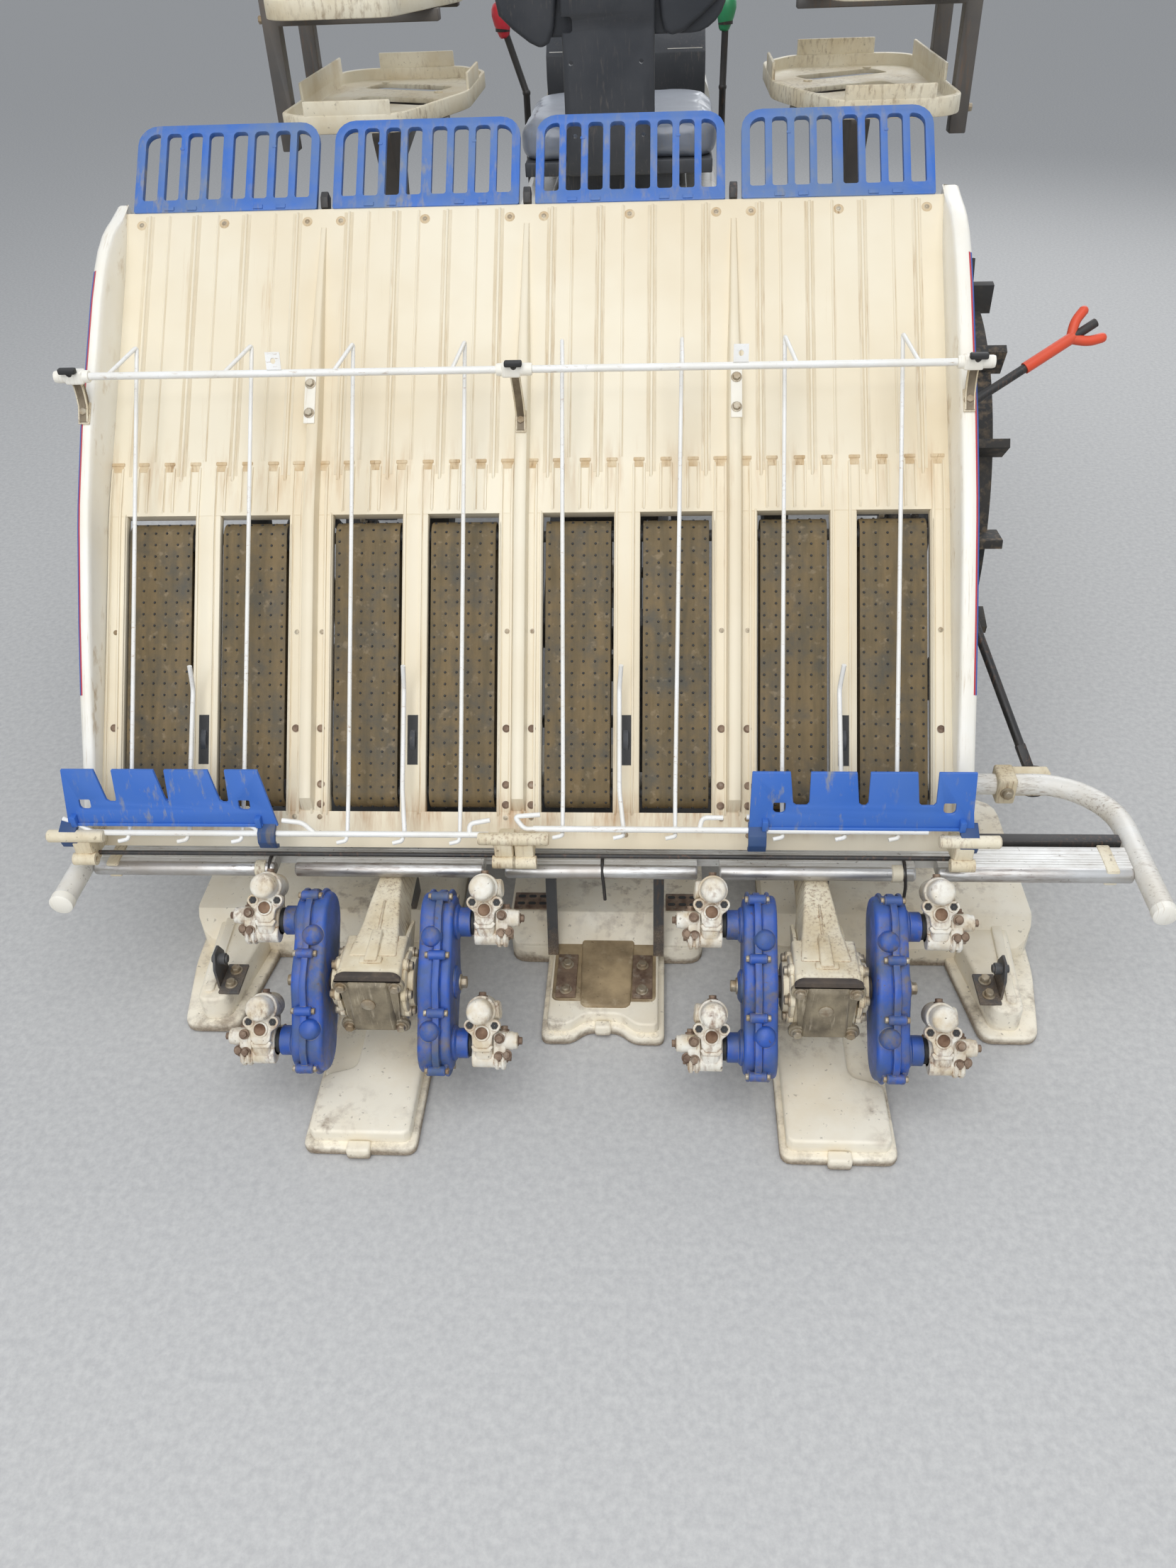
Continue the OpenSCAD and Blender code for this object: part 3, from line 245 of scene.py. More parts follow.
def hexBolt(size, height=0.6, washer=True):
    # a hexagon head on a washer, standing at the origin along +Z; size across the corners in mm
    deselect()
    bpy.ops.mesh.primitive_cylinder_add(vertices=6, radius=size / 2000, depth=size * height / 1000,
                                        location=(0, 0, size * height / 2000))
    head = bpy.context.object
    bpy.ops.object.transform_apply(location=True)
    rounded(head, size * 0.05, 1)
    if not washer:
        return head
    wide, narrow, thick = size * 0.66, size * 0.6, size * 0.12
    flat = onOrigin("washer", [(-1, 0), (-1, wide), (size * 0.09, wide), (thick, narrow), (thick, 0)], 16)
    return joined("bolt", [head, flat])


def panHead(size):
    # a domed cross-head screw at the origin along +Z
    r = size / 2
    return onOrigin("screw", [(-0.5, 0), (-0.5, r * 1.5), (0.5, r * 1.5), (0.7, r), (size * 0.3, r * 0.82),
                              (size * 0.36, r * 0.3), (size * 0.2, 0)], 14)


def fromNode(node, edge=1.5, segments=2, name=None):
    # a merged copy of a CAD node with its sharp edges rounded
    piece = linked(name or node + "_form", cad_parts[node].data.copy())
    piece.data.materials.clear()
    editAll(piece)
    bpy.ops.mesh.remove_doubles(threshold=0.00003)
    bpy.ops.mesh.dissolve_limited(angle_limit=math.radians(2))
    bpy.ops.object.mode_set(mode="OBJECT")
    return smooth(rounded(piece, edge, segments))


def settle(piece, body, look, replaced=()):
    # look, body and the CAD nodes that the piece stands for
    piece.data.materials.clear()
    piece.data.materials.append(looks[look])
    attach(piece, body)
    if replaced:
        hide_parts(*replaced)


def finished(name, parts, body, look, replaced=(), angle=38):
    settle(smooth(joined(name, parts), angle), body, look, replaced)


def repeated(name, master, places, body, look):
    settle(smooth(copied(name, master, places)), body, look)


# the looks of the paint, plastic, rubber and metal
looks = {}


def newMaterial(name):
    material = bpy.data.materials.new(name)
    material.use_nodes = True
    tree = material.node_tree
    return material, tree, tree.nodes["Principled BSDF"]


def feed(tree, socket, value):
    # links a socket, or sets a plain value or colour
    if isinstance(value, bpy.types.NodeSocket):
        tree.links.new(value, socket)
    else:
        socket.default_value = (*value, 1) if socket.type == "RGBA" and len(value) == 3 else value


def addNode(tree, kind, values=None, **settings):
    made = tree.nodes.new(kind)
    for key, value in settings.items():
        setattr(made, key, value)
    for key, value in (values or {}).items():
        feed(tree, made.inputs[key], value)
    return made


def stretched(tree, scale=(1, 1, 1)):
    # Object coordinates, scaled along each axis
    place = addNode(tree, "ShaderNodeTexCoord").outputs["Object"]
    return addNode(tree, "ShaderNodeMapping", {"Vector": place, "Scale": scale}).outputs["Vector"]


def noise(tree, vector, scale, detail=4, rough=0.55):
    return addNode(tree, "ShaderNodeTexNoise", {"Vector": vector, "Scale": scale, "Detail": detail,
                                               "Roughness": rough}).outputs["Fac"]


def ramp(tree, value, low, high, out0=0.0, out1=1.0):
    return addNode(tree, "ShaderNodeMapRange", {"Value": value, "From Min": low, "From Max": high, "To Min": out0,
                                               "To Max": out1}).outputs["Result"]


def times(tree, a, b, operation="MULTIPLY"):
    return addNode(tree, "ShaderNodeMath", {0: a, 1: b}, operation=operation).outputs["Value"]


def blendColour(tree, factor, a, b):
    return addNode(tree, "ShaderNodeMix", {0: factor, 6: a, 7: b}, data_type="RGBA").outputs[2]


def edgeWear(tree):
    # 1 along sharp edges, 0 on flats
    softNormal = addNode(tree, "ShaderNodeBevel", {"Radius": 0.0015}, samples=3).outputs["Normal"]
    trueNormal = addNode(tree, "ShaderNodeNewGeometry").outputs["Normal"]
    likeness = addNode(tree, "ShaderNodeVectorMath", {0: softNormal, 1: trueNormal}, operation="DOT_PRODUCT")
    return ramp(tree, likeness.outputs["Value"], 0.985, 0.93)


def finishShader(tree, shader, colour, roughness, height, strength):
    # colour, roughness and a fine bump
    relief = addNode(tree, "ShaderNodeBump", {"Height": height, "Strength": strength, "Distance": 0.0006})
    for key, value in (("Base Color", colour), ("Roughness", roughness), ("Normal", relief.outputs["Normal"])):
        feed(tree, shader.inputs[key], value)


def weathered(name, clean, dull, stain, grain, patch, stainShare, rough, bump=0.15, bumpScale=420, metallic=0.0,
              mudUpTo=0.0, wear=None, sheenCoat=0.0, specks=0.0):
    # a painted or moulded finish: two tones in patches, streaked stains, mud by height, worn edges and a fine bump
    material, tree, shader = newMaterial(name)
    plain = stretched(tree)
    run = stretched(tree, grain)
    patches = noise(tree, plain, patch, 5, 0.6)
    fine = noise(tree, plain, bumpScale, 3, 0.6)
    colour = blendColour(tree, ramp(tree, patches, 0.38, 0.66), clean, dull)
    roughness = ramp(tree, patches, 0.3, 0.7, *rough)
    if stain:
        streaks = ramp(tree, noise(tree, run, 9, 6, 0.62), 0.60 - 0.12 * stainShare, 0.74)
        where = ramp(tree, noise(tree, plain, patch * 0.7, 3, 0.5), 0.42, 0.62)
        colour = blendColour(tree, times(tree, streaks, where), colour, stain)
    if specks:
        dots = ramp(tree, noise(tree, plain, 150, 2, 0.5), 0.68, 0.74, 0, specks)
        colour = blendColour(tree, dots, colour, (0.10, 0.06, 0.03))
    if wear:
        edges = times(tree, edgeWear(tree), ramp(tree, noise(tree, plain, 60, 4, 0.7), 0.40, 0.60))
        colour = blendColour(tree, edges, colour, wear)
    if mudUpTo:
        height = addNode(tree, "ShaderNodeSeparateXYZ", {"Vector": plain}).outputs["Z"]
        splash = times(tree, height, ramp(tree, noise(tree, plain, 16, 6, 0.7), 0.3, 0.7, 0.5, 1.9))
        mud = ramp(tree, splash, mudUpTo, mudUpTo * 0.35, 0, 0.85)
        earth = blendColour(tree, ramp(tree, fine, 0.4, 0.6), (0.16, 0.11, 0.07), (0.30, 0.23, 0.16))
        colour = blendColour(tree, mud, colour, earth)
        roughness = times(tree, roughness, times(tree, mud, 0.35), "ADD")
    for key, value in (("Metallic", metallic), ("Coat Weight", sheenCoat), ("Coat Roughness", 0.25)):
        shader.inputs[key].default_value = value
    finishShader(tree, shader, colour, roughness, fine, bump)
    looks[name] = material


downSlope = (60, 2.2, 2.2)        # streaks run down the table
downWards = (26, 26, 2.5)         # streaks run down upright faces
weathered("wallCream", (0.93, 0.91, 0.84), (0.90, 0.85, 0.73), (0.50, 0.36, 0.20), downSlope, 6, 0.2,
        (0.3, 0.45), 0.05)
# darker ivory for the strips beside the panel's crests, steps and ribs: painted shade of the grooves, with brown
# stain streaks
weathered("ivoryPaintedShadeAndStain", (0.75, 0.67, 0.51), (0.67, 0.57, 0.40), (0.46, 0.31, 0.16), downSlope, 7, 0.9,
        (0.4, 0.55), 0.05)
weathered("enamelWhite", (0.88, 0.88, 0.86), (0.82, 0.80, 0.74), (0.40, 0.26, 0.14), (8, 30, 30), 14, 0.1,
        (0.22, 0.4), 0.05, 500, specks=0.15)
weathered("bronzeWeb", (0.15, 0.115, 0.075), (0.26, 0.21, 0.14), (0.08, 0.05, 0.03), downWards, 30, 0.6, (0.4, 0.6),
        0.3, 700, metallic=0.3)
weathered("rustStain", (0.56, 0.40, 0.22), (0.74, 0.62, 0.43), (0.28, 0.15, 0.06), (30, 8, 8), 30, 0.8,
        (0.6, 0.8), 0.3, 500)
weathered("deepBlue", (0.020, 0.060, 0.19), (0.035, 0.075, 0.17), (0.15, 0.13, 0.10), (9, 3, 3), 12, 0.5,
        (0.4, 0.6), 0.1, 300)
weathered("castCream", (0.84, 0.77, 0.60), (0.66, 0.55, 0.36), (0.23, 0.11, 0.05), downWards, 14, 0.9, (0.35, 0.6),
        0.5, 700, specks=0.5, wear=(0.30, 0.17, 0.09))
weathered("castGrime", (0.30, 0.25, 0.165), (0.13, 0.105, 0.07), (0.62, 0.54, 0.40), downWards, 26, 0.5,
        (0.45, 0.7), 0.5, 700, specks=0.5, wear=(0.60, 0.52, 0.38))
weathered("muddyCream", (0.44, 0.33, 0.19), (0.20, 0.145, 0.08), (0.66, 0.56, 0.40), (5, 5, 5), 14, 0.6, (0.5, 0.8),
        0.3, 400, mudUpTo=0.03, specks=0.6)
weathered("armCream", (0.86, 0.83, 0.74), (0.66, 0.55, 0.38), (0.20, 0.09, 0.04), (18, 18, 6), 30, 1.3,
        (0.35, 0.65), 0.6, 800, specks=0.8, wear=(0.32, 0.17, 0.08))
weathered("floatCream", (0.93, 0.87, 0.73), (0.84, 0.74, 0.56), (0.20, 0.12, 0.07), (5, 5, 5), 7, 0.8, (0.4, 0.7),
        0.2, 240, mudUpTo=0.020, specks=0.4)
weathered("railCream", (0.87, 0.83, 0.72), (0.75, 0.66, 0.50), (0.30, 0.16, 0.08), downWards, 20, 0.9, (0.3, 0.55),
        0.2, 500, specks=0.35)
weathered("rotorBlue", (0.022, 0.090, 0.42), (0.055, 0.095, 0.20), (0.17, 0.135, 0.09), (12, 12, 8), 22, 1.5,
        (0.3, 0.6), 0.4, 600, wear=(0.26, 0.24, 0.20), specks=0.6)
weathered("gridBlue", (0.035, 0.145, 0.52), (0.12, 0.20, 0.38), (0.30, 0.28, 0.22), (9, 3, 3), 8, 0.8,
        (0.4, 0.6), 0.08, 300)
weathered("combBlue", (0.032, 0.140, 0.53), (0.05, 0.155, 0.50), (0.28, 0.28, 0.24), (9, 3, 3), 8, 0.3,
        (0.4, 0.6), 0.08, 300)
weathered("framePaint", (0.055, 0.058, 0.062), (0.085, 0.085, 0.085), (0.16, 0.09, 0.05), downWards, 9, 0.6,
        (0.4, 0.65), 0.25, 500, mudUpTo=0.10, wear=(0.22, 0.20, 0.18))
weathered("castGrey", (0.19, 0.19, 0.195), (0.11, 0.105, 0.10), (0.07, 0.05, 0.035), downWards, 12, 0.8,
        (0.45, 0.7), 0.7, 900, metallic=0.4, specks=0.4)
weathered("brightSteel", (0.56, 0.55, 0.53), (0.36, 0.33, 0.30), (0.24, 0.12, 0.06), (10, 40, 10), 24, 0.8,
        (0.25, 0.5), 0.2, 900, metallic=0.9)
weathered("rustySteel", (0.30, 0.19, 0.12), (0.16, 0.085, 0.05), (0.08, 0.04, 0.025), (6, 6, 6), 40, 1.2,
        (0.6, 0.85), 0.8, 700, metallic=0.3)
weathered("railMetal", (0.62, 0.63, 0.64), (0.45, 0.44, 0.43), (0.16, 0.10, 0.06), (4, 60, 60), 12, 0.9,
        (0.28, 0.5), 0.12, 700, metallic=0.85)
weathered("pipeWhite", (0.83, 0.82, 0.78), (0.74, 0.70, 0.62), (0.22, 0.14, 0.08), (8, 30, 30), 14, 0.8,
        (0.22, 0.4), 0.08, 500, specks=0.4, wear=(0.25, 0.15, 0.09))
weathered("coverWhite", (0.82, 0.80, 0.74), (0.76, 0.71, 0.60), (0.42, 0.30, 0.18), downWards, 4, 0.3, (0.2, 0.35),
        0.05, 200, sheenCoat=0.3)
weathered("darkPlastic", (0.040, 0.044, 0.052), (0.060, 0.063, 0.070), (0.16, 0.14, 0.12), downWards, 8, 0.3,
        (0.45, 0.6), 0.35, 1400)
weathered("blackSteel", (0.018, 0.018, 0.018), (0.035, 0.032, 0.03), (0.15, 0.08, 0.05), downWards, 16, 0.7,
        (0.35, 0.6), 0.2, 700, wear=(0.20, 0.15, 0.11))
weathered("stepRubber", (0.030, 0.032, 0.033), (0.075, 0.068, 0.058), (0.20, 0.15, 0.10), (5, 5, 5), 6, 0.8,
        (0.6, 0.85), 0.4, 900)
weathered("tyreRubber", (0.022, 0.022, 0.022), (0.055, 0.048, 0.040), (0.22, 0.16, 0.10), (9, 9, 9), 8, 1.0,
        (0.6, 0.85), 0.5, 700, mudUpTo=0.10)
weathered("trayCream", (0.84, 0.78, 0.62), (0.72, 0.62, 0.43), (0.30, 0.21, 0.12), (14, 14, 5), 9, 0.9, (0.4, 0.65),
        0.15, 300, specks=0.35)
weathered("orangePlastic", (0.80, 0.085, 0.030), (0.68, 0.10, 0.045), None, (1, 1, 1), 12, 0.3,
        (0.35, 0.5), 0.1, 500)
# plain black: the own colour of the rubber knobs, seals and steering wheel, and painted shade where it fills slot
# openings and the belt's dots
weathered("blackRubberAndPaintedShade", (0.012, 0.012, 0.012), (0.03, 0.03, 0.03), None, (1, 1, 1), 20, 0.3, (0.5, 0.7), 0.3, 900)
weathered("redPaint", (0.60, 0.03, 0.05), (0.52, 0.05, 0.06), None, (1, 1, 1), 12, 0.3, (0.3, 0.4), 0.05)
weathered("stripeBlue", (0.03, 0.09, 0.40), (0.05, 0.11, 0.38), None, (1, 1, 1), 12, 0.3, (0.3, 0.4), 0.05)
weathered("zincBolt", (0.45, 0.40, 0.31), (0.30, 0.22, 0.13), (0.14, 0.065, 0.035), (9, 9, 9), 45, 0.9, (0.35, 0.6),
        0.3, 800, metallic=0.55)
weathered("dirtyBolt", (0.27, 0.19, 0.13), (0.13, 0.08, 0.055), (0.42, 0.38, 0.31), (9, 9, 9), 60, 0.5, (0.5, 0.75),
        0.5, 800, metallic=0.35)
weathered("gasketDark", (0.050, 0.040, 0.034), (0.10, 0.075, 0.055), (0.20, 0.15, 0.10), (9, 9, 9), 30, 0.6,
        (0.5, 0.75), 0.4, 800)
weathered("railEdge", (0.60, 0.60, 0.59), (0.42, 0.38, 0.34), (0.13, 0.07, 0.045), (5, 30, 30), 7, 1.2, (0.25, 0.5),
        0.2, 700, metallic=0.8, specks=0.5)
weathered("railFace", (0.74, 0.74, 0.72), (0.62, 0.60, 0.56), (0.24, 0.17, 0.11), (6, 50, 50), 12, 0.7, (0.35, 0.5),
        0.1, 500, metallic=0.25, specks=0.5)
weathered("postSteel", (0.085, 0.080, 0.076), (0.12, 0.105, 0.09), (0.17, 0.10, 0.06), downWards, 10, 0.6,
        (0.45, 0.65), 0.3, 700, wear=(0.22, 0.18, 0.14))
# dark grey vinyl, lightened and tinted blue as a painted reflection of the sky on the cushion's top
weathered("seatVinylPaintedSky", (0.23, 0.26, 0.32), (0.17, 0.19, 0.235), (0.24, 0.22, 0.19), downWards, 7, 0.35, (0.26, 0.4),
        0.12, 1500, sheenCoat=0.5)
weathered("lampGlass", (0.78, 0.79, 0.80), (0.66, 0.67, 0.68), None, (1, 1, 1), 30, 0.3, (0.08, 0.18), 0.05,
        600, sheenCoat=0.6)
weathered("knobGreen", (0.03, 0.30, 0.12), (0.04, 0.24, 0.10), None, (1, 1, 1), 30, 0.3, (0.3, 0.5), 0.1)


def beltLook():
    # olive-brown ribbed rubber with dark vertical stains and seams
    material, tree, shader = newMaterial("beltRubber")
    plain = stretched(tree)
    run = stretched(tree, (46, 5, 5))
    bands = noise(tree, run, 1.6, 5, 0.6)
    patches = noise(tree, plain, 22, 6, 0.65)
    fine = noise(tree, plain, 500, 3, 0.6)
    colour = blendColour(tree, ramp(tree, bands, 0.34, 0.66), (0.112, 0.083, 0.040), (0.190, 0.132, 0.060))
    colour = blendColour(tree, ramp(tree, patches, 0.46, 0.70, 0, 0.8), colour, (0.048, 0.047, 0.036))
    colour = blendColour(tree, ramp(tree, noise(tree, plain, 70, 3, 0.6), 0.60, 0.72, 0, 0.5), colour,
            (0.30, 0.23, 0.14))
    finishShader(tree, shader, colour, ramp(tree, patches, 0.3, 0.7, 0.78, 0.55), fine, 0.35)
    looks["beltRubber"] = material


def tableLook():
    # aged ivory: a pale ground and sparse brown streaks down the grooves
    material, tree, shader = newMaterial("tableCream")
    plain = stretched(tree)
    patches = noise(tree, plain, 3.2, 4, 0.55)
    colour = blendColour(tree, ramp(tree, patches, 0.36, 0.68), (0.84, 0.765, 0.60), (0.77, 0.66, 0.47))
    streaks = ramp(tree, noise(tree, stretched(tree, (90, 3.2, 3.2)), 1, 5, 0.7), 0.61, 0.80)
    where = ramp(tree, noise(tree, plain, 5.5, 3, 0.5), 0.46, 0.66)
    colour = blendColour(tree, times(tree, times(tree, streaks, where), 0.75), colour, (0.50, 0.32, 0.14))
    height = addNode(tree, "ShaderNodeSeparateXYZ", {"Vector": plain}).outputs["Z"]
    # rust in two bands: over the foot strip and above the windows
    for upper, lower, grain, detail, rough, drops, share, rust in (
            ((0.352, 0.325), (0.295, 0.318), (55, 6, 6), 5, 0.7, (0.44, 0.66), 0.8, (0.45, 0.24, 0.09)),
            ((0.645, 0.690), (0.735, 0.700), (70, 8, 8), 4, 0.6, (0.50, 0.68), 0.45, (0.52, 0.33, 0.15))):
        band = times(tree, ramp(tree, height, *upper), ramp(tree, height, *lower))
        drips = ramp(tree, noise(tree, stretched(tree, grain), 1, detail, rough), *drops)
        colour = blendColour(tree, times(tree, times(tree, band, drips), share), colour, rust)
    finishShader(tree, shader, colour, ramp(tree, patches, 0.3, 0.7, 0.34, 0.5),
            noise(tree, plain, 240, 3, 0.6), 0.06)
    looks["tableCream"] = material


beltLook()
tableLook()
print("stage: materials ready")


# the camera is fitted to the photo: focal length in its pixels, place and angles
cameraFit = {"place": (83, -1079, 1382), "focal": 1704, "yaw": -4.33, "down": 37.53, "roll": -2.41}


def placeCamera():
    yaw, down, roll = (math.radians(cameraFit[key]) for key in ("yaw", "down", "roll"))
    ahead = Vector((math.sin(yaw) * math.cos(down), math.cos(yaw) * math.cos(down), -math.sin(down)))
    right = Vector((math.cos(yaw), -math.sin(yaw), 0))
    up = right.cross(ahead)
    right, up = (math.cos(roll) * right + math.sin(roll) * up, -math.sin(roll) * right + math.cos(roll) * up)
    deselect()
    bpy.ops.object.camera_add()
    camera = bpy.context.object
    camera.name = "camera"
    turn = Matrix((right, up, -ahead)).transposed().to_4x4()
    camera.matrix_world = Matrix.Translation(mm(*cameraFit["place"])) @ turn
    camera.data.lens = 36 * cameraFit["focal"] / 2212
    camera.data.clip_start = 0.02
    bpy.context.scene.camera = camera


softboxes = [("skySoftbox", (0, -1500, 4200), 3.6, 95),      # name, place, size in m and power in W
             ("frontSoftbox", (-900, -3200, 2300), 2.6, 42), ("farSoftbox", (1500, 4200, 3200), 3.0, 60)]


def placeLights():
    # an overcast sky: soft from above, a little stronger from behind the camera
    world = bpy.data.worlds.new("sky")
    bpy.context.scene.world = world
    world.use_nodes = True
    tree = world.node_tree
    sky = tree.nodes["Background"]
    sky.inputs["Color"].default_value = (0.86, 0.90, 0.96, 1)
    rays = addNode(tree, "ShaderNodeLightPath").outputs
    seen = times(tree, times(tree, rays["Is Camera Ray"], rays["Is Glossy Ray"], "MAXIMUM"),
                 rays["Is Transmission Ray"], "MAXIMUM")
    tree.links.new(ramp(tree, seen, 0, 1, 0.50, 0.95), sky.inputs["Strength"])
    for name, place, size, power in softboxes:
        bpy.ops.object.light_add(type="AREA", location=mm(*place))
        lamp = bpy.context.object
        lamp.name = name
        lamp.data.size = size
        lamp.data.energy = power
        lamp.rotation_euler = (mm(0, 900, 500) - lamp.location).to_track_quat("-Z", "Y").to_euler()


def layFloor():
    # one pale ground sheet
    deselect()
    bpy.ops.mesh.primitive_plane_add(size=60, location=(0, 0, -0.001))
    floor = bpy.context.object
    floor.name = "floor"
    material, tree, shader = newMaterial("paleFloor")
    speckle = noise(tree, stretched(tree), 90, 4, 0.7)
    tree.links.new(blendColour(tree, ramp(tree, speckle, 0.35, 0.65), (0.50, 0.50, 0.50), (0.60, 0.60, 0.59)),
                   shader.inputs["Base Color"])
    shader.inputs["Roughness"].default_value = 0.9
    floor.data.materials.append(material)


placeCamera()
placeLights()
layFloor()
bpy.context.scene.view_settings.view_transform = "Standard"
print("stage: camera, light and floor ready")


# seedling table: the corners of its section are in Y and Z
table = {"low": (228, 325), "bend": (496, 652), "top": (829, 981), "foot": (196, 286), "centre": -115, "half": 600,
         "lane": 300, "thick": 24, "windowThick": 14.6, "windowAt": 68.5, "windowHalf": 50, "ease": 30}


def slopeOf(a, b):
    return math.atan2(b[1] - a[1], b[0] - a[0])


middle = table["centre"]
leftEdge, rightEdge = middle - table["half"], middle + table["half"]
lowAngle, topAngle = slopeOf(table["low"], table["bend"]), slopeOf(table["bend"], table["top"])
lowLength = math.dist(table["low"], table["bend"])
tableHead = lowLength + math.dist(table["bend"], table["top"])
laneCentres = [middle + (i - 1.5) * table["lane"] for i in range(4)]


def onSlope(corner, angle, s, drop):
    # s along a slope from its corner, drop below it
    y, z = table[corner]
    c, k = math.cos(angle), math.sin(angle)
    return (y + s * c + drop * k, z + s * k - drop * c)


def onLow(s, drop=0):
    return onSlope("low", lowAngle, s, drop)


def onTop(s, drop=0):
    return onSlope("bend", topAngle, s, drop)


def onTable(s, drop=0):
    # s runs from the belts' lower end over the eased bend to the top edge
    ease = table["ease"]
    if s < lowLength - ease:
        return onLow(s, drop)
    if s > lowLength + ease:
        return onTop(s - lowLength, drop)
    t = (s - lowLength + ease) / (2 * ease)
    a, b, c = onLow(lowLength - ease, drop), onLow(lowLength, drop), onTop(ease, drop)
    return tuple(a[k] * (1 - t) ** 2 + b[k] * 2 * t * (1 - t) + c[k] * t ** 2 for k in (0, 1))


def upNormal(s):
    angle = lowAngle if s < lowLength else topAngle
    return (0, -math.sin(angle), math.cos(angle))


def runStations(s0, s1):
    bendAt = [lowLength + d * table["ease"] for d in (-1, -0.5, 0, 0.5, 1)]
    return [s0] + [s for s in bendAt if s0 + 1 < s < s1 - 1] + [s1]


def ridge(name, x, stations, section):
    # a form moulded along the table: stations are (s, width share, height share), section (offset, height) pairs
    count = len(section)
    places = []
    for s, wide, tall in stations:
        for offset, height in section:
            places.append(mm(x + offset * wide, *onTable(s, -height * tall if height > 0 else -height)))
    faces = [(r * count + c, r * count + c + 1, (r + 1) * count + c + 1, (r + 1) * count + c)
             for r in range(len(stations) - 1) for c in range(count - 1)]
    faces += [tuple(reversed(range(count))), tuple((len(stations) - 1) * count + c for c in range(count))]
    faces += [(r * count + count - 1, r * count, (r + 1) * count, (r + 1) * count + count - 1)
              for r in range(len(stations) - 1)]
    return fromFaces(name, places, faces)


def bead(name, x, s0, s1, wide, tall, root=-0.5):
    # a small ridge of even section, from wide at its root to narrow at its top, that fades out at both ends
    section = [(-wide[0], root), (-wide[1], tall), (wide[1], tall), (wide[0], root)]
    taper = 4
    even = [(s, 1, 1) for s in runStations(s0 + taper, s1 - taper)]
    return ridge(name, x, [(s0, 1, 0.02)] + even + [(s1, 1, 0.02)], section)


def sheetSection(s0, s1, over, under):
    # closed outline of a strip of the table's panel between two stations
    stations = runStations(s0, s1)
    return [onTable(s, -over) for s in stations] + [onTable(s, under) for s in reversed(stations)]


# what every lane of the panel has: offsets across it in mm, and stations along it
lane = {"ridges": (-113, -42, 33, 110), "steps": (-84, -10, 76), "notch": 38, "notchAt": -3,
        "notchS": lowLength + 70, "ribGap": 7.6, "edgeRib": 121.5, "screwAt": 132, "dimples": (-125, 0, 125),
        "dimpleS": lowLength + 449, "crest": ((2.8, 1.3), 2.6), "step": ((2.0, 0.9), 1.3, -0.4),
        "rib": ((1.7, 1.1), 2.3)}


def notches(x):
    # the middles of a lane's eight pairs of ribs
    return [x + lane["notchAt"] + (k - 3.5) * lane["notch"] for k in range(8)]


def makePanel():
    # bottom strip with its step, plain upper panel and the strips beside the windows
    thick = table["thick"]
    foot = [table["foot"], onLow(0, 0), onLow(0, thick), onLow(-40, thick)]
    parts = [plate("footStrip", foot, leftEdge, rightEdge),
             plate("upperPanel", sheetSection(lowLength - 1, tableHead, 0, thick), leftEdge, rightEdge)]
    windows = [x + side * table["windowAt"] for x in laneCentres for side in (-1, 1)]
    edges = [leftEdge] + [x + end * table["windowHalf"] for x in windows for end in (-1, 1)] + [rightEdge]
    for x0, x1 in zip(edges[::2], edges[1::2]):
        strip = plate("windowStrip", sheetSection(-1, lowLength, 0, table["windowThick"]), x0, x1)
        parts.append(rounded(strip, 2.2))
    paintedShades = []
    top, foot = lane["notchS"], lowLength + 3

    # a darker strip laid on the panel: painted shade beside a moulded line
    def paintShade(x, s0, s1, wide):
        paintedShades.append(plate("paintShade", sheetSection(s0, s1, 0.35, 0.5), x - wide / 2, x + wide / 2))

    for x in laneCentres:
        # crests with painted shade in the grooves on both sides, fine steps between them, and paired ribs down to
        # the windows; steps and ribs get a painted shade line beside them
        for offset in lane["ridges"]:
            parts.append(bead("crest", x + offset, top - 20, tableHead - 4, *lane["crest"]))
            for side in (-1, 1):
                paintShade(x + offset + side * 4.8, top - 12, tableHead - 6, 4)
        for offset in lane["steps"]:
            parts.append(bead("step", x + offset, top + 9, tableHead - 4, *lane["step"]))
            paintShade(x + offset + 2.4, top + 10, tableHead - 6, 1.8)
        for notchX in notches(x):
            for side in (-1, 1):
                ribX = notchX + side * lane["ribGap"]
                end = foot if 17 < abs(ribX - x) < 121 else -4        # a rib over a window ends above it
                parts.append(bead("rib", ribX, end, top + 1, *lane["rib"]))
                paintShade(ribX - side * 2.2, end + 2, top - 4, 1.7)
        for side in (-1, 1):
            parts.append(bead("edgeRib", x + side * lane["edgeRib"], -6, lowLength + 2, *lane["rib"]))
    # rounded dividers that narrow and fade out up the table
    flank = [(-11.5, -1), (-9.6, 7.5), (-8, 14.6), (-5.8, 16.2)]
    divider = flank + [(-x, h) for x, h in reversed(flank)]
    stations = [(2, 1, 0.05)] + [(s, 1, 1) for s in runStations(18, lowLength + 130)]
    stations += [(lowLength + s, wide, tall)
                 for s, wide, tall in ((215, 0.9, 0.95), (300, 0.66, 0.75), (380, 0.5, 0.45))]
    stations.append((tableHead - 30, 0.4, 0.08))
    parts += [ridge("divider", leftEdge + i * table["lane"], stations, divider) for i in (1, 2, 3)]
    finished("tablePanel", parts, "table", "tableCream", ["table_panel"], 40)
    settle(joined("panelPaintedShades", paintedShades), "table", "ivoryPaintedShadeAndStain")


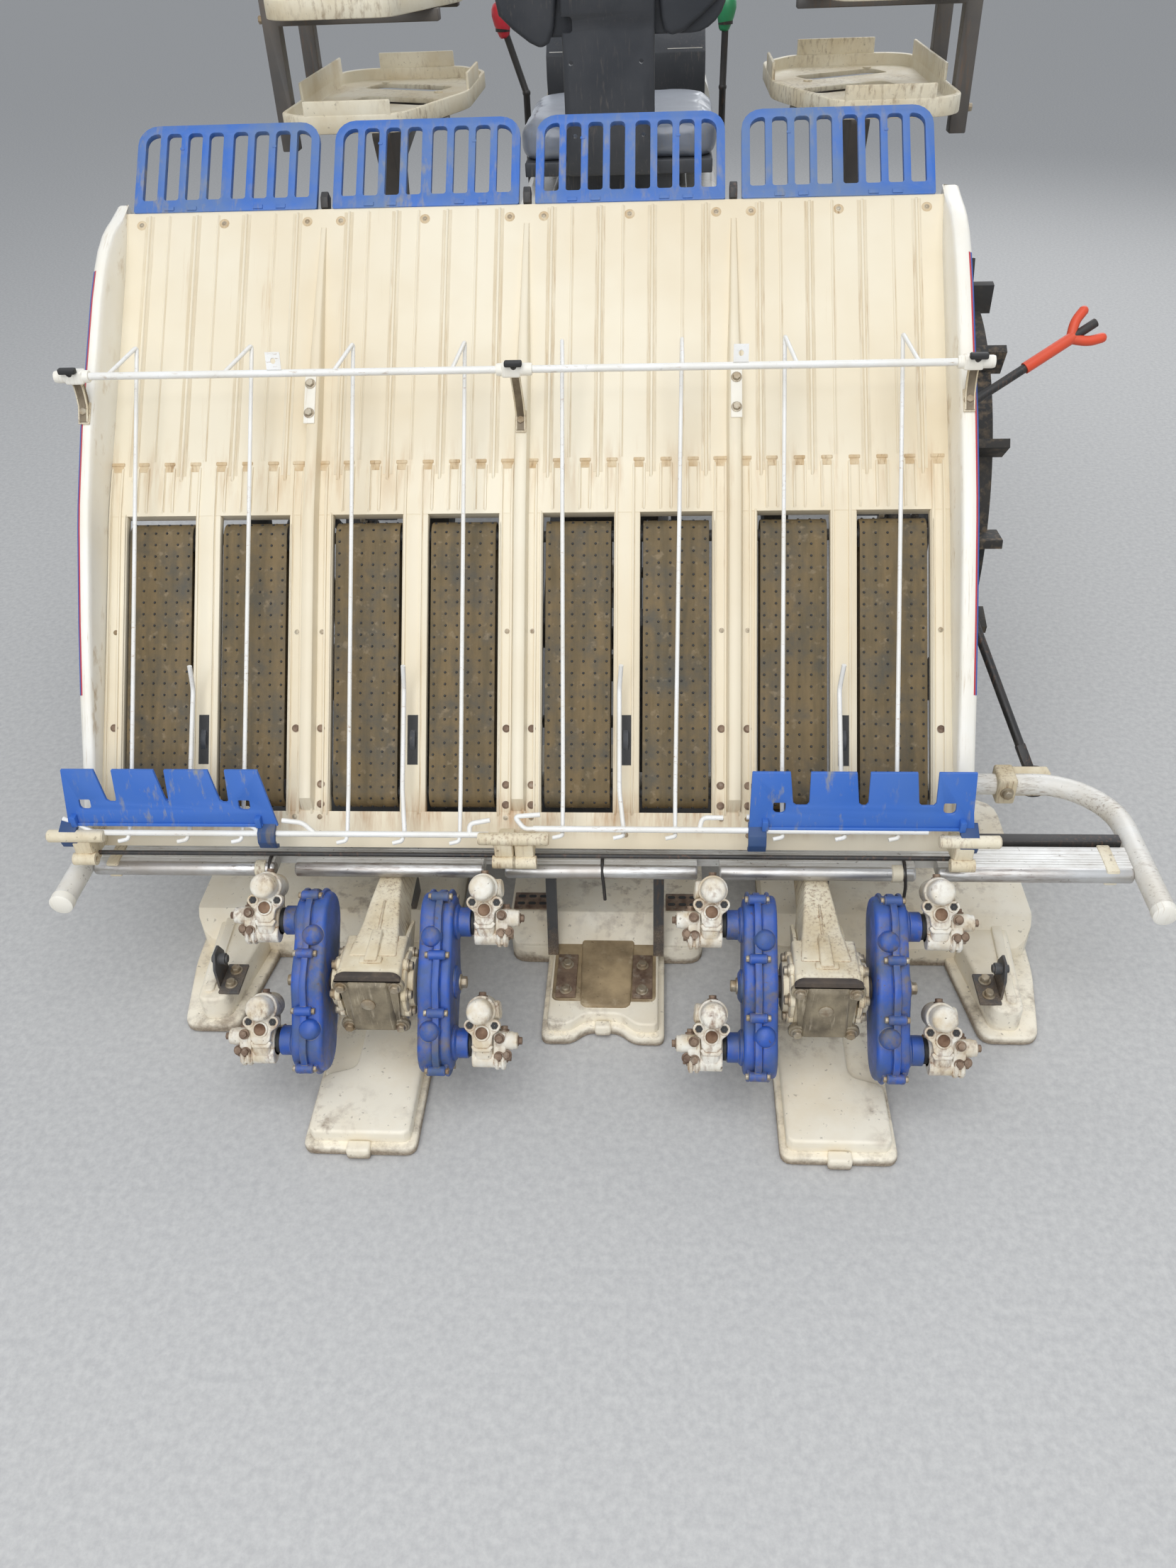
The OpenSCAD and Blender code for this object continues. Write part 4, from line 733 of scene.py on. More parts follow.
def makePanelDetails():
    stains, screws, hexes, wells, plates, bolts = [], [], [], [], [], []
    up, pocketS = upNormal(lane["dimpleS"]), lane["notchS"]
    for x in laneCentres:
        for k, notchX in enumerate(notches(x)):
            # a shallow rusty pocket between the heads of each pair of ribs
            wide = 6.2 if 0 < k < 7 else 8
            pocket = sheetSection(pocketS - 5.5, pocketS + 3.5, 0.5, 0.6)
            stains.append(plate("notch", pocket, notchX - wide, notchX + wide))
            lip = sheetSection(pocketS + 3.5, pocketS + 8.5, 1.8, 0.6)
            stains.append(rounded(plate("notchLip", lip, notchX - wide - 1.5, notchX + wide + 1.5), 0.8, 1))
        for offset in lane["dimples"]:
            place = (x + offset, *onTable(lane["dimpleS"]))
            wells.append((place, up, 0))
            screws.append((place, up, 12))
        for side in (-1, 1):
            for fixings, s, turn in ((screws, 254, 30), (screws, -8, 60), (hexes, 117, 15)):
                fixings.append(((x + side * lane["screwAt"], *onTable(s)), upNormal(0), turn))
    # a row of screws along the foot and pairs of hexagon heads beside the dividers
    for x in (leftEdge + 18, laneCentres[0] + 3, middle - 281, laneCentres[1], middle + 14, laneCentres[2],
            middle + 319, laneCentres[3], rightEdge - 16):
        screws.append(((x, *onTable(-31)), upNormal(0), 20))
    hexes += [((middle + x, *onTable(s)), upNormal(0), 0) for x in (-281, -18, 18, 281, 319) for s in (10, 38)]
    for i, shift in ((1, -4), (3, 2)):
        # a flat plate with two bolts along the first and the third divider
        x = leftEdge + i * table["lane"] + shift
        outline = sheetSection(lowLength + 128, lowLength + 204, 18.4, -15.6)
        plates.append(rounded(plate("dividerPlate", outline, x - 8, x + 8), 1))
        bolts += [((x, *onTable(lowLength + s, -18.2)), up, 10) for s in (143, 187)]
    settle(joined("rustPockets", stains), "table", "rustStain")
    well = onOrigin("well", [(-0.5, 0), (-0.5, 7.4), (0.3, 7.4), (0.9, 6.2), (0.4, 4.6), (0.4, 0)], 20)
    repeated("screwWells", well, wells, "table", "rustStain")
    repeated("panelScrews", panHead(5), screws, "table", "zincBolt")
    repeated("panelHexes", hexBolt(8.4, 0.22), hexes, "table", "dirtyBolt")
    finished("dividerPlates", plates, "table", "wallCream")
    repeated("dividerBolts", hexBolt(11.5, 0.5), bolts, "table", "zincBolt")
    # a dark roller in a slot in the middle of every lane; the slot's opening is a black sheet as painted shade
    wheel = [(-5, 0), (-5, 22), (-3.5, 25), (3.5, 25), (5, 22), (5, 0)]
    slots = [plate("slot", sheetSection(66, 136, 0.7, 1), x - 8, x + 8) for x in laneCentres]
    rollers = [turned("roller", wheel, (x - 0.5, *onTable(101, 20)), (1, 0, 0), 40) for x in laneCentres]
    finished("laneSlotShade", slots, "table", "blackRubberAndPaintedShade")
    finished("laneRollers", rollers, "table", "darkPlastic")


# height of the side walls over the table, up to the bend and past it
wallHeights = [(-48, 8), (-44, 12), (0, 18), (60, 24), (160, 37), (260, 46), (340, 51)]
wallHeights += [(lowLength + s, h) for s, h in ((-30, 54), (0, 55.5), (30, 57), (90, 61), (105, 62), (200, 61),
        (300, 60), (345, 56), (380, 50), (410, 40), (430, 29.5), (446, 19), (462, 9.5), (474, 2.5), (484, -3))]


def makeWalls():
    walls, reds, blues = [], [], []
    for side, wide in ((-1, 17.6), (1, 23)):
        onWall = lambda s, ring: [(middle + side * (table["half"] + dx), *onTable(s, -dz)) for dx, dz in ring]
        rings = []
        for s, h in wallHeights:
            # the inner face slopes in to the panel; the top is flat with a chamfer outside
            lean = min(1, max(0.12, h / 50))
            rings.append(onWall(s, [(-5 * lean, -1.5), (-3 * lean, h * 0.36), (-1.6, h * 0.80), (-0.4, h - 2.2),
                    (2, h), (wide - 6.5, h), (wide - 1.2, h - 3.2), (wide, h - 8), (wide, min(h - 12, -26)),
                    (11, min(h - 12, -28)), (1, min(h - 10, -24)), (-2 * lean, -8)]))
        walls.append(loft("wall", rings if side > 0 else rings[::-1]))
        # a red and a blue stripe lie on the chamfer
        for strips, a, b in ((reds, 0.1, 0.56), (blues, 0.62, 0.98)):
            corners = ((a, 0.45), (b, 0.45), (b, -0.5), (a, -0.5))
            strips.append(loft("stripe", [
                onWall(s, [(wide - 6.5 + t * 5.3, h - t * 3.2 + up) for t, up in corners])
                for s, h in wallHeights if 60 < s < lowLength + 350]))
    finished("tableWalls", walls, "table", "wallCream", angle=50)
    finished("stripeRed", reds, "table", "redPaint")
    finished("stripeBlue", blues, "table", "stripeBlue")


makePanel()
makePanelDetails()
makeWalls()
print("stage: table panel and walls")


# belts: sizes in mm, "ends" are the rollers' stations
belt = {"half": 46, "radius": 21.3, "inner": 18.3, "drop": 23, "ends": (28, lowLength - 30), "rows": 16.4,
        "pins": 6, "pinPitch": 16.2}


def loopPoint(travel, radius):
    # a place and its outward direction on the loop round both rollers; travel starts at the lower one
    a, b = belt["ends"]
    run = b - a
    ring = math.pi * radius
    travel %= 2 * (run + ring)
    if travel < run:
        return onLow(a + travel, belt["drop"] - radius), (-math.sin(lowAngle), math.cos(lowAngle))
    if travel < run + ring:
        turn = lowAngle + math.pi / 2 - (travel - run) / radius
        centre = onLow(b, belt["drop"])
    elif travel < 2 * run + ring:
        return onLow(b - (travel - run - ring), belt["drop"] + radius), (math.sin(lowAngle), -math.cos(lowAngle))
    else:
        turn = lowAngle - math.pi / 2 - (travel - 2 * run - ring) / radius
        centre = onLow(a, belt["drop"])
    outward = (math.cos(turn), math.sin(turn))
    return (centre[0] + radius * outward[0], centre[1] + radius * outward[1]), outward


def makeBelts():
    run = belt["ends"][1] - belt["ends"][0]
    length = 2 * (run + math.pi * belt["radius"])
    rows = int(length / belt["rows"])

    def loop(radius):
        ring = math.pi * radius
        stations = [0, run * 0.5] + [run + ring * k / 14 for k in range(15)]
        stations += [run * 1.5 + ring] + [2 * (run + ring) - ring * (14 - k) / 14 for k in range(14)]
        return [loopPoint(travel, radius)[0] for travel in stations]

    bands, pins = [], []
    for x in laneCentres:
        for side in (-1, 1):
            mid = x + side * table["windowAt"]
            outer = plate("belt", loop(belt["radius"]), mid - belt["half"], mid + belt["half"])
            outer = cutAway(outer, [plate("hollow", loop(belt["inner"]), mid - 60, mid + 60)])
            bands.append(rounded(outer, 0.8, 2, 60))
            start = random.uniform(0, belt["rows"])
            for row in range(rows):
                place, outward = loopPoint(start + row * length / rows, belt["radius"])
                for k in range(belt["pins"]):
                    pins.append(((mid + (k - (belt["pins"] - 1) / 2) * belt["pinPitch"], *place), (0, *outward)))
    finished("belts", bands, "table", "beltRubber", ["belts"], 40)
    # short pins in a grid over every belt, all in one mesh; they are black as painted shade of the belt's dark dots
    places, faces = [], []
    across = Vector((1, 0, 0))
    for place, outward in pins:
        first = len(places)
        up = Vector(outward)
        along = up.cross(across)
        for radius, lift in ((0.0021, -0.0003), (0.0013, 0.0013)):
            for k in range(6):
                turn = math.radians(60 * k)
                places.append(mm(*place) + up * lift + radius * (math.cos(turn) * across + math.sin(turn) * along))
        faces += [(first + k, first + (k + 1) % 6, first + 6 + (k + 1) % 6, first + 6 + k) for k in range(6)]
        faces += [tuple(first + 6 + k for k in range(6)), tuple(first + k for k in reversed(range(6)))]
    settle(fromFaces("beltPins", places, faces), "table", "blackRubberAndPaintedShade")


# extension grids
grid = {"long": 140, "wide": 276, "thick": 9, "corner": 30, "edge": 12, "foot": 19, "head": 13, "slots": 8,
        "bar": 10, "middleBar": 15}


def roundedRectangle(x0, y0, x1, y1, radii, steps=5):
    # radii for the corners: lower left, lower right, upper right, upper left
    corners = []
    for (cx, cy, start), r in zip(((x0, y0, 180), (x1, y0, 270), (x1, y1, 0), (x0, y1, 90)), radii):
        mx, my = cx + (r if cx == x0 else -r), cy + (r if cy == y0 else -r)
        for k in range(steps + 1):
            turn = math.radians(start + 90 * k / steps)
            corners.append((mx + r * math.cos(turn), my + r * math.sin(turn)))
    return corners


def makeGrids():
    # modelled flat, with the slots cut out, then copied to the head of each lane
    reach, tall = grid["wide"] / 2, grid["long"]

    def flat(outline, z0, z1):
        return extruded("gridForm", [Vector((x, y, z0)) / 1000 for x, y in outline], (0, 0, (z1 - z0) / 1000))

    form = flat(roundedRectangle(-reach, 0, reach, tall, (3, 3, grid["corner"], grid["corner"])), -grid["thick"], 0)
    room = 2 * reach - 2 * grid["edge"] - (grid["slots"] - 2) * grid["bar"] - grid["middleBar"]
    slot = room / grid["slots"]
    x = -reach + grid["edge"]
    cutters = []
    for k in range(grid["slots"]):
        radii = {0: (4, 4, 4.5, 17), grid["slots"] - 1: (4, 4, 17, 4.5)}.get(k, (4, 4, 7, 7))
        cutters.append(flat(roundedRectangle(x, grid["foot"], x + slot, tall - grid["head"], radii), -30, 30))
        x += slot + (grid["middleBar"] if k == grid["slots"] // 2 - 1 else grid["bar"])
    cutAway(form, cutters)
    tabs = [flat([(a - 7, 2), (a + 7, 2), (a + 7, 8), (a - 7, 8)], 0, 1.6) for a in (-84, -50, 50, 84)]
    marks = [flat(roundedRectangle(a - 3, 100, a + 3, 104, (1, 1, 2, 2), 3), -0.5, 0.8) for a in (-70, 70)]
    form = rounded(joined("gridForm", [form] + tabs + marks), 1.6)
    copies = []
    place = Matrix.Translation(mm(0, *onTable(tableHead, -2))) @ Matrix.Rotation(topAngle, 4, "X")
    for x in laneCentres:
        copies.append(linked("grid", form.data.copy()))
        copies[-1].data.transform(Matrix.Translation((x / 1000, 0, 0)) @ place)
    bpy.data.objects.remove(form)
    finished("extensionGrids", copies, "table", "gridBlue", ["grids"], 35)
    # dark clips between the grids on the panel's top edge
    outline = [onTable(tableHead + a, b) for a, b in ((1, -2), (14, -8), (26, -4), (26, 12), (1, 16))]
    clips = [rounded(plate("clip", outline, x + 150 - 5.5, x + 150 + 5.5), 1.5) for x in laneCentres[:3]]
    finished("gridClips", clips, "table", "blackSteel")


# retention bar, its rods and the lower bar: places are Y and Z, the rods' bends are X
bars = {"matBar": 5, "rod": 2.9, "lowBar": 4.2, "hook": 3.4, "barPlace": onTop(160, -105), "lowPlace": (165, 336),
        "ends": (-676, -514, -362, -200, -50, 110, 262, 421), "knees": (-656, -491, -347, -190, -55, 110, 250, 409),
        "feet": (-649, -490, -344, -189, -49, 103, 246, 398)}


def makeRetention():
    y, z = bars["barPlace"]
    parts = [tube("matBar", [(leftEdge - 34, y, z), (rightEdge + 26, y, z)], bars["matBar"], 0, 6)]
    for end, knee, foot in zip(bars["ends"], bars["knees"], bars["feet"]):
        # a short arm up over the table from the bar, then the straight rod down over the belt
        path = [(end, y, z), (knee, *onTop(224, -63)), (foot, *onLow(30, -47)), (foot, *onLow(-28, -50))]
        parts.append(tube("rod", path, bars["rod"], 7, 3))
    for x in (-441, 187):
        # small upright tab with a hole on the bar
        low, high = onTop(162, -110), onTop(181, -122)
        corners = [mm(x - 10, *low), mm(x + 10, *low), mm(x + 10, *high), mm(x - 10, *high)]
        tab = extruded("tab", corners, (0, -0.0012, 0.0012))
        hole = (x, (low[0] + high[0]) / 2, (low[1] + high[1]) / 2)
        drill = turned("drill", [(-20, 0), (-20, 3.4), (20, 3.4), (20, 0)], hole, upNormal(tableHead), 14)
        parts.append(cutAway(tab, [drill]))
    finished("retentionRods", parts, "table", "enamelWhite", ["mat_bar"])
    # curved channel brackets up from the walls and the middle divider, each with a clamp and a wing knob
    webs, flanges, clamps, knobs, bolts = [], [], [], [], []
    up = upNormal(tableHead)
    for x, side, foot, knee in ((leftEdge - 9, -1, 62.4, 10), (middle, 1, 17, 24), (rightEdge + 9, 1, 62.4, 10)):
        spine = [onTop(112, -foot - 1), onTop(134, -foot - 2), onTop(148, -foot - knee), onTop(160, -84),
                onTop(164, -96), onTop(163, -104)]
        ways = [Vector(b) - Vector(a) for a, b in zip([spine[0]] + spine[:-1], spine[1:] + [spine[-1]])]

        def beside(share):
            # the spine moved sideways by a share of the bracket's half width
            return [(p[0] - share * w * d.y / d.length, p[1] + share * w * d.x / d.length)
                    for p, w, d in zip(spine, (4, 7, 8, 8, 8, 7), ways)]

        over, under = beside(1), [onTop(112, -foot), onTop(140, -foot)] + beside(-0.5)[2:]
        webs.append(plate("bracketWeb", over + under[::-1], x - 5, x + 5))
        inner = [(p[0] + (q[0] - p[0]) * 0.22, p[1] + (q[1] - p[1]) * 0.22) for p, q in zip(over, under)]
        for a, b in ((x - 7, x - 4.4), (x + 4.4, x + 7)):
            flanges.append(rounded(plate("bracketRim", over + inner[::-1], a, b), 0.8))
        pad = [onTop(s, -foot - d) for s, d in ((110, 0), (142, 0), (142, 3), (110, 3))]
        flanges.append(rounded(plate("bracketPad", pad, x - 8, x + 8), 1))
        bolts.append(((x, *onTop(126, -foot - 3)), up, 0))
        clamp = box("clampBlock", (x - side * 4 - 13, y - 9, z - 9), (x - side * 4 + 13, y + 9, z + 9))
        clamps.append(rounded(clamp, 3, 3))
        collar = [(-24, 5), (-24, 7.6), (-21, 8.4), (21, 8.4), (24, 7.6), (24, 5)]
        clamps.append(turned("collar", collar, (x, y, z), (1, 0, 0), 24))
        # the wing of the knob is a flat bar on a short neck
        knobs.append(turned("knobNeck", [(7, 0), (7, 5), (13, 5), (13, 0)], (x, y, z), up, 16))
        wingY, wingZ = y + up[1] * 16, z + up[2] * 16
        knobs.append(rounded(box("knobWing", (x - 12, wingY - 5, wingZ - 4),
                (x + 12, wingY + 5, wingZ + 4)), 2.4, 3))
    finished("bracketWebs", webs, "table", "bronzeWeb")
    finished("bracketRims", flanges, "table", "castCream")
    finished("barClamps", clamps, "table", "wallCream")
    finished("barKnobs", knobs, "table", "blackRubberAndPaintedShade")
    repeated("bracketBolts", hexBolt(11.5, 0.5), bolts, "table", "zincBolt")


def makeLowerBar():
    y, z = bars["lowPlace"]
    wires = [tube("lowBar", [(leftEdge + 10, y, z), (middle - 34, y, z)], bars["lowBar"], 0, 5),
             tube("lowBar", [(middle + 27, y + 4, z + 8), (rightEdge - 48, y + 4, z + 7)], bars["lowBar"], 0, 5)]
    # bent wires that stand up from the bar, and the short hooks at the rods' ends
    hooks = [[(-741, 176, 351), (-720, 171, 346), (-698, y, z)],
             [(-494, 172, 347), (-474, 171, 345), (-463, y, z)],
             [(-433, 175, 351), (-405, 174, 348), (-387, y, z)],
             [(-175, y, z), (-175, 174, 348), (-147, 177, 352)],
             [(-79, 182, 358), (-114, 180, 356), (-100, 169, 343), (-76, 170, 344)],
             [(135, 169, 343), (139, 180, 356), (167, 180, 356)],
             [(198, 181, 357), (218, 180, 356), (225, 170, 344)],
             [(438, 170, 344), (451, 180, 357), (478, 180, 356), (477, 171, 344)]]
    for path in hooks:
        wires.append(tube("hook", path, bars["hook"], 7, 4))
    for foot in bars["feet"] + (-566, -267, 33, 328):
        barY, barZ = (y, z) if foot < middle else (y + 4, z + 8)
        top = onLow(-28, -50 if foot in bars["feet"] else -46)
        path = [(foot, *top), (foot, barY - 6, barZ - 7), (foot - 13, barY - 8, barZ - 9)]
        wires.append(tube("peg", path, bars["rod"], 4, 3))
    for x in laneCentres:
        # the short middle rod beside the roller, with a bent head
        path = [(x - 6, *onLow(200, -44)), (x - 9, *onLow(170, -22)), (x - 8, *onLow(30, -30)),
                (x - 1, *onLow(-28, -46))]
        wires.append(tube("middleRod", path, bars["rod"] + 0.4, 8, 3))
    finished("lowerBarWires", wires, "table", "enamelWhite", ["lower_bar"])
    # cream end and centre holders with the dark slide rod between them
    holders = []
    for x, side, reach in ((leftEdge, -1, 44), (middle - 14, 1, 20), (middle + 14, -1, 20), (rightEdge, 1, 44)):
        sleeve = [(-34, 0), (-34, 7), (-32, 8.6), (reach, 9), (reach + 2, 7), (reach + 2, 0)]
        holders.append(turned("holderTube", sleeve, (x, y - 6, z - 2), (side, 0, 0), 20))
        holders.append(rounded(box("holderBody", (x - 13, y - 12, z - 50), (x + 13, y + 10, z - 8)), 3))
        eye = [(-16, 4), (-16, 9), (16, 9), (16, 4)]
        holders.append(turned("holderEye", eye, (x, y - 12, z - 38), (1, 0, 0), 20))
        foot = [(y + 8, z - 44), (y + 8, z - 12), (206, 314), (204, 288)]
        holders.append(rounded(plate("holderFoot", foot, x - 11, x + 11), 2))
    finished("barHolders", holders, "table", "castCream")
    rod = tube("slideRod", [(leftEdge - 6, y + 3, z - 39), (rightEdge + 6, y + 3, z - 39)], 3.2, 0, 5)
    settle(smooth(rod), "table", "blackSteel")


def makeStoppers():
    # two blue combs clipped on the lower bar: their middle, teeth, left and right end, and the slant of the gaps
    forms = [(-592, [(-136, -91), (-66, -8), (7, 67), (90, 135)], [(-140, -4), (-136, 75)],
              [(149, 16), (154, -4)], 11),
             (351, [(-148, -98), (-72, -12), (5, 66), (93, 142)], [(-150, -4), (-148, 75)],
              [(143, 20), (146, -4)], 5)]
    combs, feet = [], []
    for mid, teeth, leftEnd, rightEnd, slant in forms:
        def cut(name, corners, y, reach):
            return extruded(name, [mm(mid + x, y + 0.25 * up, 350 + up) for x, up in corners], (0, reach, 0))

        outline = list(leftEnd)
        for k, (a, b) in enumerate(teeth):
            outline += [(a, 75)] if k else []
            outline.append((b, 75))
            if k < 3:
                after = teeth[k + 1][0]
                outline += [(b + slant * 0.8, 40), (b + slant, 32), (b + slant + 4, 29),
                        (after - 3, 29), (after, 33)]
        holes = [cut("hole", roundedRectangle(side * 111 - 8, 18, side * 111 + 8, 33, (6, 6, 2, 2)), 150, 0.06)
                 for side in (-1, 1)]
        combs.append(rounded(cutAway(cut("comb", outline + rightEnd, 170, 0.0042), holes), 1.0))
        combs.append(rounded(cut("combLip", [(-132, -4), (134, -4), (134, 0), (-132, 0)], 170, -0.003), 0.8))
        for side in (-1, 1):
            # each foot grips the bar from behind
            x = mid + side * 139
            foot = [(172, 350), (157, 343), (152, 330), (156, 317), (165, 311), (168, 316), (160, 321), (158, 330),
                    (163, 337), (176, 344), (177, 353)]
            feet.append(rounded(plate("combFoot", foot, x - 12, x + 12), 1.0))
            x -= side * 10
            combs.append(rounded(box("combLug", (x - 4, 163, 346), (x + 4, 175, 362)), 1.2))
    finished("stopperCombs", combs, "table", "combBlue")
    finished("combFeet", feet, "table", "deepBlue")


makeBelts()
makeGrids()
makeRetention()
makeLowerBar()
makeStoppers()
print("stage: belts, grids, bars and stoppers")


# planting units: gear cases with two rotors each, and two arms on every rotor
unit = {"case": 300, "axis": (43, 178), "crank": 81, "angle": math.radians(46.7), "row": 150, "endRadius": 40,
        "swell": 11, "flangeBolts": 38}


def rotorOutline(margin):
    # round ends on the cranks, straight flanks and a swell round the shaft, as Y and Z
    end, crank = unit["endRadius"] + margin, unit["crank"]
    flank = [(u, end + unit["swell"] * math.exp(-(u / 32) ** 2)) for u in range(-66, 67, 12)]
    arc = [(math.radians(90 - 15 * k)) for k in range(13)]
    loop = flank + [(crank + end * math.cos(a), end * math.sin(a)) for a in arc]
    loop += [(u, -v) for u, v in reversed(flank)] + [(-crank - end * math.cos(a), -end * math.sin(a)) for a in arc]
    return [rotorPoint(u, v) for u, v in loop]


def rotorPoint(u, v):
    # u along the rotor, v across it
    c, s = math.cos(unit["angle"]), math.sin(unit["angle"])
    return (unit["axis"][0] + u * c - v * s, unit["axis"][1] + u * s + v * c)


def between(origin, side, a, b):
    # X range from a to b on one side of an origin
    return tuple(sorted((origin + side * a, origin + side * b)))


def sideBox(name, side, x0, x1, low, high, *bevel):
    # a rounded box on one side of the middle; low and high are Y and Z
    a, b = between(0, side, x0, x1)
    return rounded(box(name, (a, *low), (b, *high)), *bevel)


def boltCircle(turns, radius):
    # (turn, Y, Z) of bolts round a shaft
    return [(t, radius * math.cos(math.radians(t)), radius * math.sin(math.radians(t))) for t in turns]


def makeRotor(number, case, side):
    body = f"rotor_{number}"
    outwards, along, end = (side, 0, 0), unit["crank"], unit["endRadius"]
    at = lambda dx, u, v: (case + side * dx, *rotorPoint(u, v))
    shell = [rounded(plate("shell", rotorOutline(margin), *between(case, side, a, b)), *bevel, 50)
             for margin, a, b, bevel in ((0, 63, 86, (6, 3)), (3.6, 84, 93, (1.3, 2)), (-4, 91, 107, (4.5, 3)))]
    # lugs across the seam with a bolt in each, at both flanks and round the ends
    bolts = []
    lugs = [(u, v * (end + 5)) for u in (-38, 38) for v in (-1, 1)]
    lugs += [(k * (along + 34), v * 27) for k in (-1, 1) for v in (-1, 1)]
    for u, v in lugs:
        lug = [(0, 0), (0, 5.2), (1.5, 6.6), (22, 6.6), (23.5, 5.2), (23.5, 0)]
        shell.append(turned("lug", lug, at(77, u, v), outwards, 16))
        bolts += [(at(100.3, u, v), outwards, 20), (at(77.2, u, v), (-side, 0, 0), 0)]
    # ribs over the round ends, and a raised pad beside them
    for k in (-1, 1):
        arc = [math.radians(a) for a in range(-44, 45, 11)]
        rib = [rotorPoint(k * (along + (end + 4.5) * math.cos(a)), (end + 4.5) * math.sin(a)) for a in arc]
        rib += [rotorPoint(k * (along + 20), 18), rotorPoint(k * (along + 20), -18)]
        for x in (72, 98):
            shell.append(rounded(plate("endRib", rib, *between(case, side, x, x + 4.5)), 1.2, 1))
        shell.append(turned("pad", [(0, 0), (0, 15), (9, 13), (12, 10), (13, 0)], at(80, k * 62, end - 2),
                            (0, -math.sin(unit["angle"]), math.cos(unit["angle"])), 20))
    # necks towards the arms, and the cover of the shaft
    neck = [(0, 0), (0, 24), (3, 24), (6, 20), (20, 20), (21, 19), (21, 0)]
    shell += [turned("neck", neck, at(107, k * along, 0), outwards, 36) for k in (-1, 1)]
    shell.append(turned("hubCover", [(-1, 0), (-1, 23), (3, 22), (6, 17), (7, 0)], at(107, 0, 0), outwards, 32))
    finished(body + "_case", shell, body, "rotorBlue", [body], 42)
    heads = copied(body + "_bolts", hexBolt(9, 0.5, False), bolts)
    shaftBolt = copied("shaftBolt", hexBolt(17, 0.55), [(at(113.5, 0, 0), outwards, 10)])
    finished(body + "_bolts", [heads, shaftBolt], body, "zincBolt")


armLook = math.radians(43)      # the arm's tube and cover face up and back by this angle
# outlines and profiles of the arm's forms: out along its tube and up across it, or along an axis and radius
arm = {
    "web": [(30, -6), (31, 8), (22, 26), (4, 56), (-14, 58), (-22, 40), (-26, 8), (-18, -18), (0, -27), (18, -24)],
    "tube": [(-14, 0), (-14, 14), (-10, 17.5), (22, 17.5), (24, 19.5), (31, 19.5), (33, 17), (52, 16.6),
             (56, 15), (58, 12), (58, 0)],
    "boss": [(0, 0), (0, 12), (2, 13), (22, 13), (24, 11), (24, 0)],
    "drum": [(0, 0), (0, 20), (2, 22), (26, 22), (29, 19), (29, 0)],
    "cross": [(0, 0), (0, 12.6), (1, 13.6), (31, 13.6), (32, 12.6), (32, 0)],
    "cover": [(-19, 34), (-24, 28), (-22, 20), (-14, 14), (-13, 3), (-8, -3), (8, -3), (13, 3), (14, 14),
              (22, 20), (24, 28), (19, 34), (11, 37), (-11, 37)],
    "lip": [(-15, -1), (-11, -8), (11, -8), (15, -1), (11, 2), (-11, 2)],
    "screwPad": [(0, 0), (0, 8), (8.5, 7.6), (9, 5.2), (6.5, 5.2), (6.5, 0)],
    "plugRing": [(0, 0), (0, 11), (9, 10.4), (9.6, 8.2), (7, 8), (7, 0)],
    "flange": [(0, 0), (0, 15), (1.2, 16.2), (4.2, 16.2), (5.4, 15), (5.4, 0)],
    "stub": [(0, 0), (0, 12), (20, 12), (22, 10.8), (26, 10.8), (27, 9.6), (27, 0)],
    "block": [(26, -2), (28, 16), (10, 20), (4, -26), (20, -30)],
    "holder": [(4, -26), (27, -4), (48, -24), (44, -34), (24, -36)],
    "claw": [(30, -24), (46, -20), (60, -48), (56, -50), (40, -38)],
    "plug": [(0, 0), (0, 8), (8.6, 7.8), (9.6, 6.4), (9.9, 0)],
    "screw": [(0, 0), (0, 5), (8.4, 5), (8.4, 2.6), (7.4, 0)],
    "seal": [(0, 0), (0, 17.5), (5, 17), (5, 0)],
    "middle": 149,
    "screwAt": 16.5,
}


def armPoint(out, up):
    # out along the arm's tube towards the rear and up, and up across it, from the arm's pivot
    c, s = math.cos(armLook), math.sin(armLook)
    return (-out * c + up * s, out * s + up * c)


